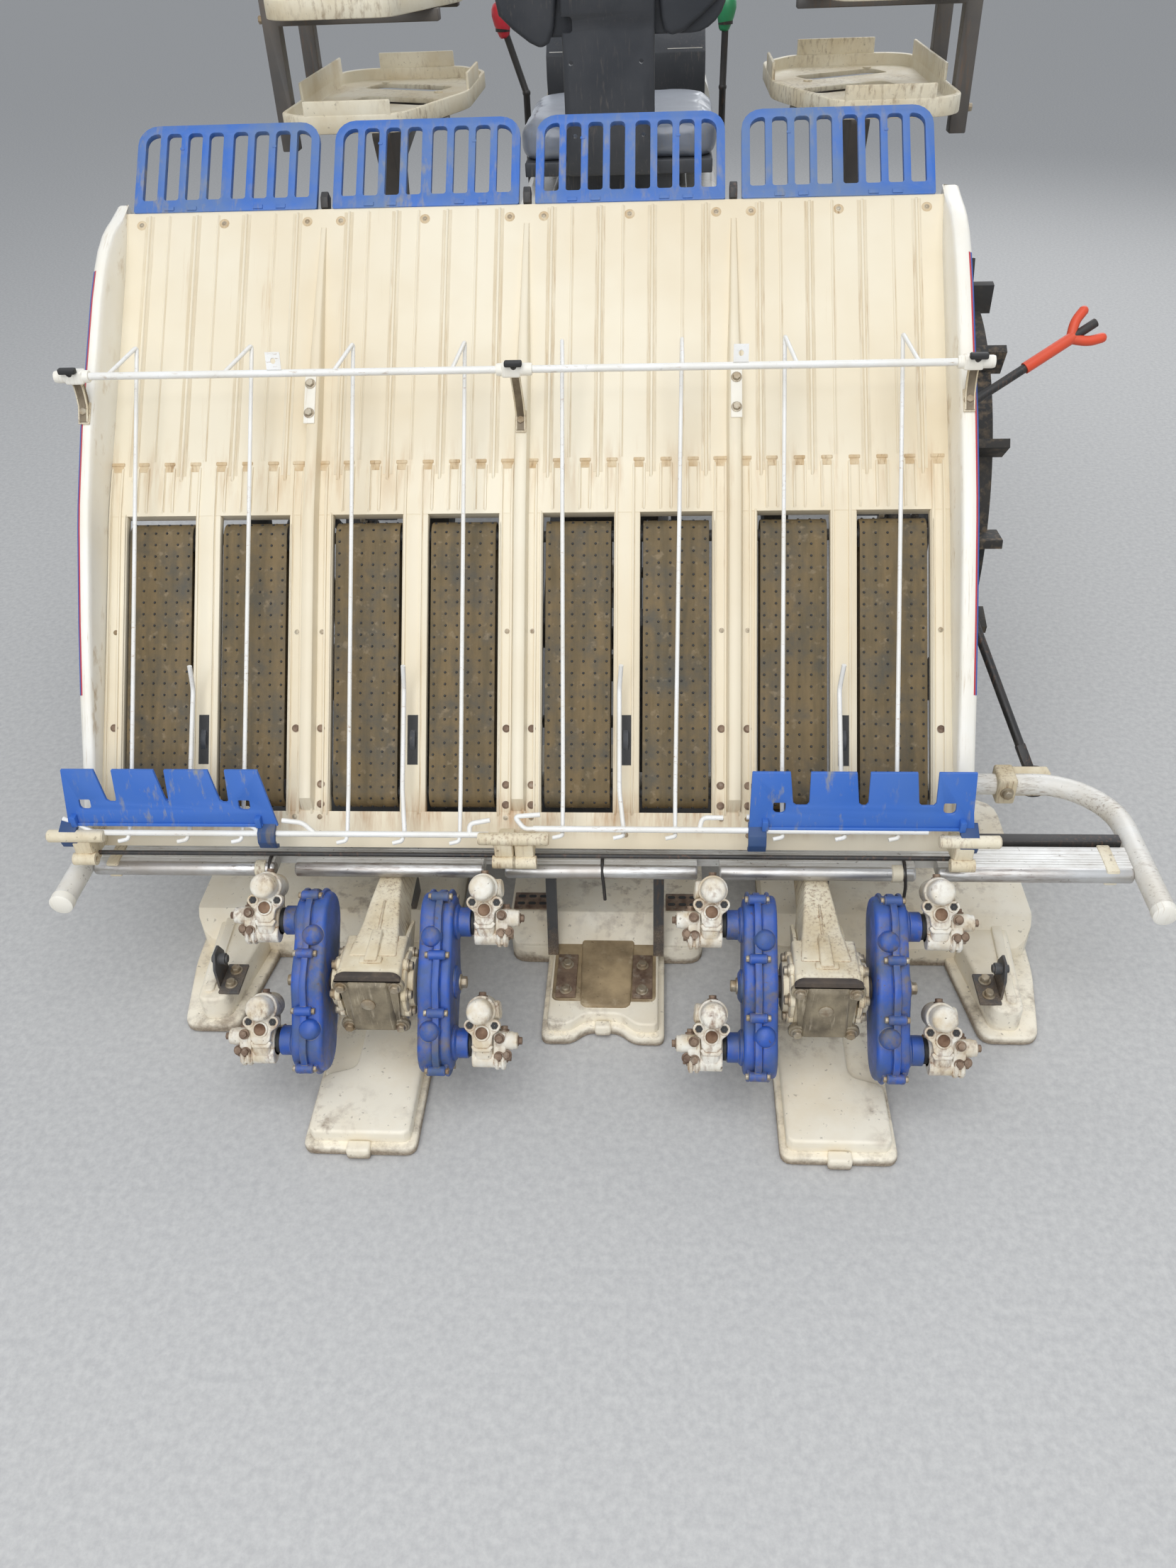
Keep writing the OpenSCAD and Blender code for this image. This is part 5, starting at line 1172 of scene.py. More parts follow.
def makeArm(body, pivot, side):
    # pivot is on the row; side tells where the gear case is not
    outwards, mid = (side, 0, 0), arm["middle"]
    facing = (0, -math.cos(armLook), math.sin(armLook))
    screws = [mid + dx for dx in (-arm["screwAt"], arm["screwAt"])]

    def at(dx, out, up):
        y, z = armPoint(out, up)
        return (pivot[0] + side * (dx - unit["row"]), pivot[1] + y, pivot[2] + z)

    def form(key, place, axis=outwards, steps=28):
        return turned(key, arm[key], at(*place), axis, steps)

    def flat(key, a, b, *bevel, tilted=False):
        # a plate across the row from an outline in Y and Z, or tilted with the tube
        outline = [armPoint(*p) for p in arm[key]] if tilted else arm[key]
        outline = [(y + pivot[1], z + pivot[2]) for y, z in outline]
        return rounded(plate(key, outline, *between(pivot[0], side, a - unit["row"], b - unit["row"])), *bevel)

    def facePlate(key, out, bevel):
        corners = [mm(*at(mid + dx, out, up)) for dx, up in arm[key]]
        return rounded(extruded(key, corners, Vector(facing) * 0.0075), bevel)

    # tube with a cap that faces the rear, drum on the neck with a cross tube below it, and the winged cover
    cast = [flat("web", 138, 162, 5, 3, tilted=True), form("tube", (147, 2, 46), facing),
            form("boss", (147, 14, 44), (side, 0, 0.12), 20), form("drum", (134, 0, 0), steps=32),
            form("cross", (134, 8, -17)), facePlate("cover", 26, 1.8), facePlate("lip", 24, 1.5)]
    cast += [form("screwPad", (x, 26, 27), facing, 20) for x in screws]
    cast.append(form("plugRing", (mid, 27, 17), facing, 24))
    # clamp at the outer side: two flanges, a stub and the claw's holder
    cast += [form("flange", (x, 10, -17)) for x in (165, 173)]
    cast += [form("stub", (168, 16, 6), steps=24), flat("block", 163, 180, 2.5, tilted=True),
            flat("holder", 141, 159, 2)]
    finished(body + "_casting", cast, body, "armCream", [body], 42)
    # rusty plug, claw prongs, dark screws and seal
    claw = [form("plug", (mid, 27, 17), facing, 22)] + [flat("claw", a, a + 3, 0.8, 1) for a in (139, 158)]
    finished(body + "_claw", claw, body, "rustySteel")
    upright = (0, 0.68, 0.73)
    bolts = [(at(*place), axis, turn) for place, axis, turn in (((172, 30, 10), facing, 15),
            ((171, 24, -14), facing, 40), ((181, 22, -12), facing, 5), ((176, 12, 19), upright, 0),
            ((195, 16, 6), outwards, 10), ((147, 20, 64), upright, 25), ((180, 10, -17), outwards, 33))]
    repeated(body + "_bolts", hexBolt(10.5, 0.55), bolts, body, "dirtyBolt")
    dark = [form("screw", (x, 26, 27), facing, 6) for x in screws] + [form("seal", (129, 0, 0))]
    finished(body + "_seal", dark, body, "blackRubberAndPaintedShade")


def makeGearCase(case):
    name = "gearCase" + ("Left" if case < 0 else "Right")
    y, z = unit["axis"]
    flange = boltCircle(range(40, 360, 60), unit["flangeBolts"])
    head = plate("head", [(8, 132), (16, 126), (74, 126), (84, 140), (84, 226), (14, 230), (8, 224)],
            case - 42, case + 42)
    parts = [rounded(head, 7, 3)]

    def ring(y, top, halfTop, low, halfLow):
        # one section of the neck: its flanks stand up over a third of its height
        knee = low + (top - low) * 0.35
        return [(case + x, y, z) for x, z in ((-halfLow, low), (halfLow, low), (halfLow, knee), (halfTop, top),
                                              (-halfTop, top), (-halfLow, knee))]

    def bar(y, low, halfLow, top, halfTop):
        return [(case + x, y, z) for x, z in ((-halfLow, low), (halfLow, low), (halfTop, top), (-halfTop, top))]

    # the neck narrows towards the beam and leaves the head in a swelling; it carries a spine and a raised block
    neck = loft("neck", [ring(40, 230, 33, 128, 41), ring(84, 229, 28, 136, 38), ring(100, 229, 25.5, 146, 34),
                         ring(140, 236, 20.5, 166, 29), ring(182, 239, 16, 185, 24), ring(280, 239, 14, 185, 22)])
    parts.append(rounded(neck, 3.5, 3, 18))
    spine = loft("spine", [bar(a, b, 2.2, b + 4, 1.2) for a, b in ((80, 226), (100, 227.5), (140, 234))])
    parts.append(rounded(spine, 0.8, 1))
    parts.append(rounded(loft("ridgeBlock", [bar(28, 224, 9.5, 234, 8.5), bar(84, 224, 8, 236, 7)]), 1.6))
    parts.append(rounded(box("foot", (case - 15, 26, 224), (case + 15, 38, 232)), 2))
    for side in (-1, 1):
        # shaft boss with a bolted flange
        boss = [(0, 0), (0, 41), (2, 42), (5, 42), (6.5, 40), (7, 34), (14, 33), (15, 31), (15, 0)]
        parts.append(turned("boss", boss, (case + side * 41, y, z), (side, 0, 0), 40))
        for _, dy, dz in flange:
            lug = [(0, 0), (0, 9), (6, 9), (7.5, 7.5), (7.5, 0)]
            parts.append(turned("bossLug", lug, (case + side * 41, y + dy, z + dz), (side, 0, 0), 18))
        web = [(84, 150), (84, 206), (120, 200), (150, 190), (110, 160)]
        parts.append(rounded(plate("web", web, *between(case, side, 30, 36)), 2))

    def facePlate(key, outline, y, reach):
        return extruded(key, [mm(case + a, y, b) for a, b in outline], (0, -reach / 1000, 0))

    # rear cover: ears at its corners and a tapered panel that stands out
    front = [rounded(facePlate("cover", [(-40, 218), (-34, 131), (34, 131), (40, 218)], 5.5, 5.5), 1.2)]
    ears = [(-36, 213), (36, 213), (35, 137), (-35, 137)]
    front += [turned("ear", [(0, 0), (0, 12), (5.6, 12), (7, 10.6), (7, 0)], (case + a, 6, b), (0, -1, 0), 24)
              for a, b in ears]
    rings = (((-28, 1, 224), (28, 1, 224), (32, 1, 128), (-32, 1, 128)),
             ((-24, -7, 219), (24, -7, 219), (27, -6, 134), (-27, -6, 134)))
    panel = [[(case + a, y, z) for a, y, z in ring] for ring in rings]
    front.append(rounded(loft("coverPanel", panel), 3, 3, 20))
    finished(name, parts, "planter", "castCream", angle=42)
    finished(name + "Cover", front, "planter", "castGrime", angle=42)
    gasket = rounded(facePlate("gasket", roundedRectangle(-44, 196, 44, 232, (4, 4, 14, 14)), 9, 4), 1)
    lip = rounded(facePlate("gasketLip", roundedRectangle(-44, 221, 44, 232, (3, 3, 9, 9)), 6, 7.5), 1.4)
    shaft = tube("rotorShaft", [(case - 62.5, y, z), (case + 62.5, y, z)], 15, 0, 6)
    finished(name + "Gasket", [gasket, lip, shaft], "planter", "gasketDark")
    bolts = [((case + a, -1, b), (0, -1, 0), 12) for a, b in ears]
    bolts += [((case + side * 48.5, y + dy, z + dz), (side, 0, 0), turn) for side in (-1, 1)
            for turn, dy, dz in flange]
    heads = copied(name + "Bolts", hexBolt(13, 0.5), bolts)
    plug = turned("plug", [(0, 0), (0, 9.5), (2, 9.5), (3, 8), (3.2, 0)], (case - 2, -6.4, 186), (0, -1, 0), 24)
    finished(name + "Bolts", [heads, plug], "planter", "zincBolt")


for case in (-unit["case"], unit["case"]):
    makeGearCase(case)
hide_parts("gear_cases")
rotorSides = [(case, side) for case in (-unit["case"], unit["case"]) for side in (-1, 1)]
for number, (case, side) in enumerate(rotorSides, 1):
    makeRotor(number, case, side)
    for level, k in (("upper", 1), ("lower", -1)):
        makeArm(f"arm_{number}_{level}", (case + side * unit["row"], *rotorPoint(k * unit["crank"], 0)), side)
print("stage: planting units")


# floats on the ground under the planting section
def easedOutline(points, r):
    # corners eased by short flats
    loop = []
    for k, c in enumerate(points):
        corner, before, after = Vector(c), Vector(points[k - 1]), Vector(points[(k + 1) % len(points)])
        a = corner + (before - corner).normalized() * min(r, (before - corner).length * 0.45)
        b = corner + (after - corner).normalized() * min(r, (after - corner).length * 0.45)
        for t in (0, 0.25, 0.5, 0.75, 1):
            loop.append(tuple(a * (1 - t) ** 2 + corner * 2 * t * (1 - t) + b * t ** 2))
    return loop


def floatBody(outline, rear, nose, side):
    # the high front part: a slanted rear face and a nose that lifts off the ground
    body = slabUp("floatBody", easedOutline([(side * x, y) for x, y in outline], 45 if nose < 600 else 28), 0, 74)
    rearCut = plate("rearCut", [(rear - 20, 36), (rear, 36), (rear + 34, 74), (rear + 34, 90),
            (rear - 20, 90)], -700, 700)
    noseCut = plate("noseCut", [(nose - 130, -2), (nose + 4, 46), (nose + 4, -2)], -700, 700)
    return rounded(cutAway(body, [rearCut, noseCut]), 6, 3, 25)


def block(name, outline, ease, z0, z1, *bevel):
    # a low moulded form: eased outline in X and Y, rounded edges
    return rounded(slabUp(name, easedOutline(outline, ease), z0, z1), *bevel)


def makeSideFloat(side):
    name = "floatRight" if side > 0 else "floatLeft"
    parts = [floatBody([(243, 257), (652, 257), (652, 580), (243, 580)], 258, 580, side)]
    # tail: low rim and raised block with a step on its outer side; outer lobe: rim, raised strip and bead
    for outline, ease, z0, z1, bevel in (
            ([(243, -110), (397, -110), (397, 290), (243, 290)], 16, 0, 15.5, (3.5, 3, 25)),
            ([(251, -99), (389, -99), (389, -2), (344, 12), (344, 284), (251, 284)], 13, 8, 36.5, (7, 4, 25)),
            ([(340, 4), (390, 4), (390, 280), (340, 280)], 8, 8, 25, (3, 2, 25)),
            ([(546, 100), (626, 100), (648, 230), (652, 340), (521, 340), (521, 262)], 20, 0, 16, (3.5, 3, 25)),
            ([(560, 114), (602, 112), (618, 340), (534, 340), (534, 262)], 15, 8, 58, (8, 4, 25)),
            ([(580, 128), (594, 126), (606, 300), (590, 300)], 6, 50, 62.5, (3, 2, 25))):
        parts.append(block("floatForm", [(side * x, y) for x, y in outline], ease, z0, z1, *bevel))
    parts.append(sideBox("tailNub", side, 304, 336, (-118, 2), (-100, 22), 4, 3))
    finished(name, parts, "planter", "floatCream",
            ["float_right" if side > 0 else "float_left"], 45)
    # steel bracket on the lobe
    upright = [(134, 58), (178, 58), (178, 96), (166, 118), (146, 118), (134, 96)]
    pin = [(-18, 0), (-18, 6), (-15, 6), (-15, 8.5), (0, 8.5), (0, 6), (5, 6), (5, 0)]
    steel = [sideBox("floatPlate", side, 541, 572, (124, 57), (182, 62), 1),
             rounded(plate("floatUpright", upright, *between(0, side, 571, 575)), 1),
             turned("floatPin", pin, (side * 576, 156, 100), (side, 0, 0), 18)]
    finished(name + "Bracket", steel, "planter", "framePaint")
    nuts = [((side * 556, y, 62), (0, 0, 1), turn) for y, turn in ((140, 10), (168, 35))]
    repeated(name + "Nuts", hexBolt(14, 0.6), nuts, "planter", "zincBolt")


def makeCentreFloat():
    a, b = 90, 150        # half widths of the tail and of the body
    tail = [(-a, 87), (-46, 87), (-22, 108), (22, 108), (46, 87), (a, 87), (a, 290), (-a, 290)]
    top = [(-a + 9, 97), (-50, 97), (-26, 118), (26, 118), (50, 97), (a - 9, 97), (a - 9, 285), (-a + 9, 285)]
    parts = [floatBody([(-b, 253), (b, 253), (b, 740), (-b, 740)], 258, 740, 1),
             block("tailRim", tail, 12, 0, 17, 3.5, 3, 25), block("tailTop", top, 10, 8, 36, 6, 4, 25),
             rounded(box("tailNub", (-12, 101, 4), (12, 116, 24)), 4, 3)]
    parts += [turned("tailEye", [(0, 3.2), (0, 6), (1.6, 5.6), (1.6, 3.2)], (side * x, 94, 16.6), (0, 0, 1), 16)
              for side in (-1, 1) for x in (56, 76)]
    finished("floatCentre", parts, "planter", "floatCream", ["float_centre"], 45)
    hump = block("tailHump", [(-34, 128), (40, 128), (44, 275), (-38, 275)], 12, 28, 41, 5, 3, 25)
    well = block("tailMud", [(-a + 12, 140), (a - 12, 140), (a - 12, 284), (-a + 12, 284)], 12, 30, 36.6, 2, 2, 25)
    for piece in (hump, well):
        settle(smooth(piece), "planter", "muddyCream")
    steel, nuts, slots = [], [], []
    for side in (-1, 1):
        steel.append(sideBox("hingePlate", side, 42, 72, (146, 35.5), (233, 40), 1))
        nuts += [((side * 57, y, 40), (0, 0, 1), 12 + y) for y in (159, 210)]
        steel.append(sideBox("slotPlate", side, 92, 146, (296, 73), (332, 77), 1))
        # the plates' slots are black sheets laid on them: painted shade of the openings
        for y in (304, 320):
            for x in (side * 101, side * 118, side * 135):
                slots.append(slabUp("slot", roundedRectangle(x - 6, y, x + 6, y + 6, (3, 3, 3, 3), 4), 74, 77.3))
    finished("centrePlates", steel, "planter", "dirtyBolt")
    repeated("centreNuts", hexBolt(14, 0.55), nuts, "planter", "zincBolt")
    settle(joined("plateSlotShade", slots), "planter", "blackRubberAndPaintedShade")


# rail, guard pipe and markers
rail = {"half": 728.7, "slots": 15, "y": 190, "z": 250}        # each row's claws pass through a slot
pipe = {"radius": 16, "x": 745, "corner": 640, "front": 388, "rear": 105, "height": 255}


def makeRail():
    # one rounded edge between each pair of claw slots, and the ribbed white face in front of it
    reach, y, z = rail["half"], rail["y"], rail["z"]
    cuts = [-reach] + [row + side * rail["slots"] for row in (-450, -150, 150, 450) for side in (-1, 1)] + [reach]
    face = [(y, 240), (192, 261)]
    for groove in (199, 204, 209):
        face += [(groove - 0.8, 261.4), (groove, 260), (groove + 0.8, 261.4)]
    face += [(214.8, 261.4), (214.8, 239.3)]
    web = [(214.6, 239), (236, 239), (236, 261), (228, 261.3), (227.2, 260), (226.4, 261.4), (220.4, 261.4),
            (219.6, 260), (218.8, 261.4), (214.6, 261.4)]
    edges, webs = [], []
    for x0, x1 in zip(cuts[::2], cuts[1::2]):
        end = [(0, 0), (0, 8.5), (1.5, 10.4), (3.5, 11)]
        profile = end + [(x1 - x0 - a, r) for a, r in reversed(end)]
        edges.append(turned("railEdge", profile, (x0, y, z), (1, 0, 0), 28))
        webs.append(plate("railFace", face, x0 + 0.8, x1 - 0.8))
    webs.append(plate("railWeb", web, -reach, reach))
    finished("railEdge", edges, "planter", "railEdge", ["rail_lips"])
    finished("railWeb", webs, "planter", "railFace", ["slide_rail"], 30)
    # caps at the rail's ends, a dark guard at the right and small guide strips
    caps = [rounded(box("railCap", (s * 700 - 9, 183, 237), (s * 700 + 9, 240, 263)), 2.5) for s in (-1, 1)]
    boss = [(-9, 0), (-9, 9), (-7, 12.4), (7, 12.4), (9, 9), (9, 0)]
    caps += [turned("railBoss", boss, (x, y, z), (1, 0, 0), 24) for x in (-485, 410)]
    finished("railCaps", caps, "planter", "castCream")
    guard = [rounded(box("railGuard", (527, 240.5, 256), (726, 258, 267)), 1.5)]
    for x in (-472, 2, 420):
        path = [(x, 205, 262), (x, 196, 264), (x, 181, 256), (x + 2, 177, 236), (x + 3, 180, 205)]
        guard.append(tube("guideStrip", path, 2.4, 6, 3))
    finished("railGuard", guard, "planter", "blackSteel")


def markerPlace(side, x, y, z):
    # a place on a folded marker: x outwards, y up along it and z away from its pivot's plate
    lean = math.radians(50)
    return (side * (650 + x), pipe["front"] + y * math.cos(lean) + z * math.sin(lean),
            262 + y * math.sin(lean) - z * math.cos(lean))


def makePipe():
    x, corner, front, rear, height = (pipe[key] for key in ("x", "corner", "front", "rear", "height"))
    bend = x - corner
    right = [(x, rear, height)]
    right += [(corner + bend * math.cos(math.radians(a)), front - bend + bend * math.sin(math.radians(a)), height)
              for a in range(0, 91, 9)]
    path = right + [(-px, py, pz) for px, py, pz in reversed(right)]
    piece = smooth(tube("guardPipe", path, pipe["radius"], 0, 10), 50)
    settle(piece, "planter", "pipeWhite", ["guard_pipe"])
    cap = [(-7, 0), (-7, 13.5), (-5, 16.3), (4, 16.9), (6, 16.9), (6, 0)]
    caps = [turned("pipeCap", cap, (s * x, rear + 5, height), (0, 1, 0), 36) for s in (-1, 1)]
    finished("pipeCaps", caps, "planter", "wallCream")
    clamps, nuts = [], []
    for s in (-1, 1):
        clamps.append(sideBox("pipeClamp", s, 584, 612, (front - 22, height - 22), (front + 22, height + 22), 4, 3))
        corners = [(-62, -22), (16, -22), (22, -12), (22, 12), (16, 22), (-62, 22)]
        base = [mm(*markerPlace(s, a, b, 17)) for a, b in corners]
        reach = mm(*markerPlace(s, 0, 0, 24)) - mm(*markerPlace(s, 0, 0, 17))
        clamps.append(rounded(extruded("markerPlate", base, reach), 1.5))
        ahead = Vector(markerPlace(s, 0, 0, 1)) - Vector(markerPlace(s, 0, 0, 0))
        pin = [(0, 0), (0, 10), (27, 10), (29, 8), (29, 0)]
        clamps.append(turned("markerPin", pin, markerPlace(s, 0, 0, 18), ahead, 24))
        nuts += [((s * 598, front - 22, height), (0, -1, 0), 10), (markerPlace(s, -52, 12, 24), ahead, 5)]
    finished("pipeClamps", clamps, "planter", "castCream")
    repeated("clampBolts", hexBolt(15, 0.6), nuts, "planter", "zincBolt")


marker = {"tilt": math.radians(19.5), "lift": 32, "long": 556, "end": (282, 182), "rod": 7, "prong": 7.6}


def makeMarker(side):
    body = "marker_right" if side > 0 else "marker_left"
    sine, cosine = math.sin(marker["tilt"]), math.cos(marker["tilt"])
    bend = (-marker["long"] * sine, marker["long"] * cosine)
    endX, endY = bend[0] + marker["end"][0], bend[1] + marker["end"][1]
    at = lambda x, y, dz=0: markerPlace(side, x, y, marker["lift"] + dz)
    ahead = Vector(at(0, 0, 1)) - Vector(at(0, 0))
    path = [at(bend[0] * 0.06, bend[1] * 0.06), at(*bend), at(endX + 4, endY + 3)]
    hub = [(-7.3, 10.6), (-7.3, 22), (-6, 24), (6, 24), (8, 22), (8, 10.6), (-7.3, 10.6)]
    corners = ((-7, 16), (7, 16), (7, 60), (-7, 60))
    socket = [mm(*at(u * cosine - v * sine, u * sine + v * cosine, -7)) for u, v in corners]
    reach = mm(*at(0, 0, 7)) - mm(*at(0, 0, -7))
    rod = [tube("markerRod", path, marker["rod"], 26, 6), turned("markerHub", hub, at(0, 0), ahead, 28),
           rounded(extruded("markerSocket", socket, reach), 2)]
    finished(body + "_rod", rod, body, "blackSteel", [body])
    # forked orange tip
    fork = []
    tip = [(-7.6, 0), (-6.4, 3.9), (-3.9, 6.4), (0, 7.7), (3.9, 6.4), (6.4, 3.9), (7.6, 0)]
    for x, y in ((-14, 22), (13, -21)):
        path = [at(endX - 34, endY - 22), at(endX + (x - 34) / 2 + x * 0.25, endY + (y - 22) / 2 + y * 0.25),
                at(endX + x, endY + y)]
        fork.append(tube("prong", path, marker["prong"], 14, 6))
        fork.append(turned("prongTip", tip, at(endX + x, endY + y), ahead, 14))
    fork.append(tube("forkSleeve", [at(endX - 104, endY - 67), at(endX - 30, endY - 19)], 9, 0, 6))
    finished(body + "_fork", fork, body, "orangePlastic")


for side in (-1, 1):
    makeSideFloat(side)
    makeMarker(side)
makeCentreFloat()
makeRail()
makePipe()
print("stage: floats, rail, pipe and markers")


# driver's seat
seat = {"half": 205, "rear": 1390, "front": 1790, "top": 1000, "low": 930.5, "lean": 0.157}
seatForms = {        # the column in Y and Z, the wings in X and Z, the cover below in Y and Z
    "column": [(1410, 912), (1368, 912), (1356, 942), (1345, 1140), (1342, 1158), (1334, 1172), (1324, 1300),
               (1330, 1316), (1342, 1312), (1360, 1140), (1370, 945), (1376, 928), (1410, 928)],
    "leftWing": [(-99, 1330), (-150, 1330), (-186, 1318), (-203, 1290), (-206, 1205), (-200, 1168), (-177, 1146),
                 (-150, 1126), (-130, 1116), (-115, 1124), (-105, 1148), (-99, 1190)],
    "rightWing": [(75, 1330), (150, 1330), (186, 1318), (203, 1290), (200, 1215), (176, 1182), (148, 1158),
                  (118, 1136), (96, 1129), (84, 1138), (78, 1158), (75, 1190)],
    "cover": [(1180, 581), (1180, 806), (1188, 828), (1222, 862), (1242, 869.5), (1698, 869.5), (1722, 856),
              (1730, 838), (1730, 581)],
}


def puffed(piece, cap, floorZ):
    # swells a pad under pressure, keeps every point within the cap and above what the pad rests on
    modify(piece, "REMESH", mode="VOXEL", voxel_size=0.006)
    start = [vertex.co.copy() for vertex in piece.data.vertices]
    pick(piece)
    cloth = piece.modifiers.new("cloth", "CLOTH")
    cloth.settings.use_pressure = True
    cloth.settings.uniform_pressure_force = 4
    cloth.settings.effector_weights.gravity = 0
    for step in range(1, 21):
        bpy.context.scene.frame_set(step)
    bpy.ops.object.modifier_apply(modifier=cloth.name)
    bpy.context.scene.frame_set(1)
    for vertex, place in zip(piece.data.vertices, start):
        move = vertex.co - place
        if move.length > cap / 1000:
            move *= cap / 1000 / move.length
        vertex.co = place + move
        vertex.co.z = max(vertex.co.z, floorZ / 1000)
    return modify(piece, "SUBSURF", levels=1, render_levels=1)


def makeSeat():
    inset = 13
    outline = roundedRectangle(-seat["half"] + inset, seat["rear"] + inset, seat["half"] - inset,
            seat["front"] - inset, (52, 52, 66, 66), 6)
    cushion = rounded(slabUp("seatCushion", outline, seat["low"] + 2, seat["top"] - 12), 16, 4, 40)
    puffed(cushion, 12, seat["low"])
    settle(smooth(cushion, 60), "chassis", "seatVinylPaintedSky", ["seat_cushion"])
    # moulded back: a column with a notch and four holes, two wings and the shell that joins them in front
    column = rounded(plate("column", seatForms["column"], -92, 68), 7, 3, 40)
    holes = [turned("hole", [(-60, 0), (-60, 4.2), (60, 4.2), (60, 0)], (x, 1350, z), (0, 1, 0), 14)
             for x, z in ((-78, 1096), (45, 1096), (-75, 981), (48, 981))]
    notch = [mm(x, 1300, z) for x, z in roundedRectangle(-110, 1141, -73, 1166, (5, 6, 6, 5))]
    shell = [cutAway(column, holes + [extruded("notch", notch, (0, 0.1, 0))])]
    joining = roundedRectangle(-192, 1132, 190, 1328, (60, 60, 44, 44), 6)
    for outline, y, reach, bevel in ((seatForms["leftWing"], 1352, (0, 0.026, 0.0042), (9, 4, 40)),
                                     (seatForms["rightWing"], 1352, (0, 0.026, 0.0042), (9, 4, 40)),
                                     (joining, 1367, (0, 0.013, 0.002), (5, 3, 40))):
        corners = [mm(x, y - (z - 1150) * seat["lean"], z) for x, z in outline]
        shell.append(rounded(extruded("backForm", corners, reach), *bevel))
    finished("seatBack", shell, "chassis", "darkPlastic", ["seat_back"], 50)
    # pan and cover below
    settle(fromNode("seat_pan", 3, 2, "seatPan"), "chassis", "darkPlastic", ["seat_pan"])
    parts = [rounded(plate("seatCover", seatForms["cover"], -190, 190), 16, 4, 50)]
    parts += [rounded(box("coverRib", (x - 9, 1300, 867), (x + 9, 1640, 873)), 2.5) for x in (-120, 120)]
    parts.append(rounded(box("coverLip", (-186, 1177, 596), (186, 1184, 612)), 2.5))
    finished("seatCover", parts, "chassis", "coverWhite", ["seat_base"], 45)


# spare seedling racks
rack = {"x": 443, "y": 1590, "low": 1005.3, "step": 172, "tall": 30}
trayOutline = [(157, -262), (157, 262), (112, 300), (-96, 300), (-157, 214), (-157, -60), (-66, -300), (122, -300)]


def makeTray(side, level):
    cx, cy, z = rack["x"], rack["y"], rack["low"] + level * rack["step"]
    plan = easedOutline([(side * (cx + u), cy + v) for u, v in trayOutline], 26)
    centre = Vector((side * cx, cy))
    inner = [tuple(centre + (Vector(p) - centre) * 0.955) for p in plan]
    cutters = [slabUp("hollow", inner, z + 9, z + 40)]
    slant = math.radians(24 * side)
    c, s = math.cos(slant), math.sin(slant)
    for along in (-170, 0, 170):
        slot = [(side * cx + (u * c - v * s), cy + along + (u * s + v * c))
                for u, v in roundedRectangle(-90, -34, 90, 34, (15, 15, 15, 15))]
        cutters.append(slabUp("slot", slot, z - 5, z + 40))
    parts = [rounded(cutAway(slabUp("tray", plan, z, z + rack["tall"]), cutters), 2.6, 2, 40)]
    # upright lips at the outer side, the ends and the inner point
    for x0, y0, x1, y1, top in ((150, -110, 156, 240, 58), (-50, -299, 105, -293, 52), (-80, 293, 80, 299, 58),
                                (-156, -40, -150, 110, 58)):
        parts.append(sideBox("lip", side, cx + x0, cx + x1, (cy + y0, z + 4), (cy + y1, z + top), 2.4))
    boss = [(8, 0), (8, 9), (11.5, 8.4), (12, 4), (10.5, 0)]
    for u, v in ((-60, -235), (75, -85), (-75, 85), (60, 240)):
        parts.append(turned("trayBoss", boss, (side * (cx + u), cy + v, z), (0, 0, 1), 18))
    return joined("tray", parts)


def makeRacks():
    trays = [makeTray(side, level) for side in (-1, 1) for level in (0, 1)]
    finished("seedlingTrays", trays, "chassis", "trayCream", ["rack_trays"], 40)
    nuts = []
    for side, node in ((-1, "rack_left"), (1, "rack_right")):
        settle(fromNode(node, 2, 2, node + "Form"), "chassis", "postSteel", [node])
        nuts += [((side * 636, y, 995 + rack["step"] * level), (side, 0, 0), 15)
                 for y in (1450, 1700) for level in (0, 1)]
        nuts += [((side * x, y, 614), (0, 0, 1), turn) for x in (409, 441) for y, turn in ((1450, -30), (1530, 50))]
    repeated("rackBolts", hexBolt(15, 0.55), nuts, "chassis", "zincBolt")


# levers, dash, step floor and covers
def makeControls():
    settle(fromNode("levers", 1.2, 2, "leverRods"), "chassis", "blackSteel", ["levers"])
    profile = [(-26, 0), (-26, 8), (-22, 11), (0, 17.5), (16, 19.5), (28, 18), (36, 13), (39.5, 6), (40, 0)]
    for side, look, x in ((-1, "redPaint", -250), (1, "knobGreen", 210)):
        knob = turned("knob" + look, profile, (x, 1850, 1112), (side * 0.12, 0, 1), 28)
        settle(smooth(knob, 60), "chassis", look)
    settle(fromNode("dash", 6, 3, "dashForm"), "chassis", "darkPlastic", ["dash"])
    plates = []
    for side in (-1, 1):
        plates.append(sideBox("dashPlate", side, 92, 168, (2050, 1074.6), (2104, 1076), 0.6, 1))
        x0, x1 = between(0, side, 92, 168)
        panel = [mm(x0, 2003, 1039), mm(x1, 2003, 1039), mm(x1, 2034, 1062), mm(x0, 2034, 1062)]
        plates.append(extruded("dashPanel", panel, (0, -0.0012, 0.0015)))
    finished("dashPlates", plates, "chassis", "coverWhite")
    dial = [(0, 0), (0, 27), (3, 27), (5, 24), (3.4, 21), (3.4, 0)]
    dials = [turned("dial", dial, (x, 2082, 1074.5), (0, 0, 1)) for x in (-46, 46)]
    finished("dashDials", dials, "chassis", "blackSteel")
    wheel = fromNode("steering_wheel", 2, 2, "steeringWheel")
    settle(smooth(wheel, 60), "steering", "blackRubberAndPaintedShade", ["steering_wheel"])


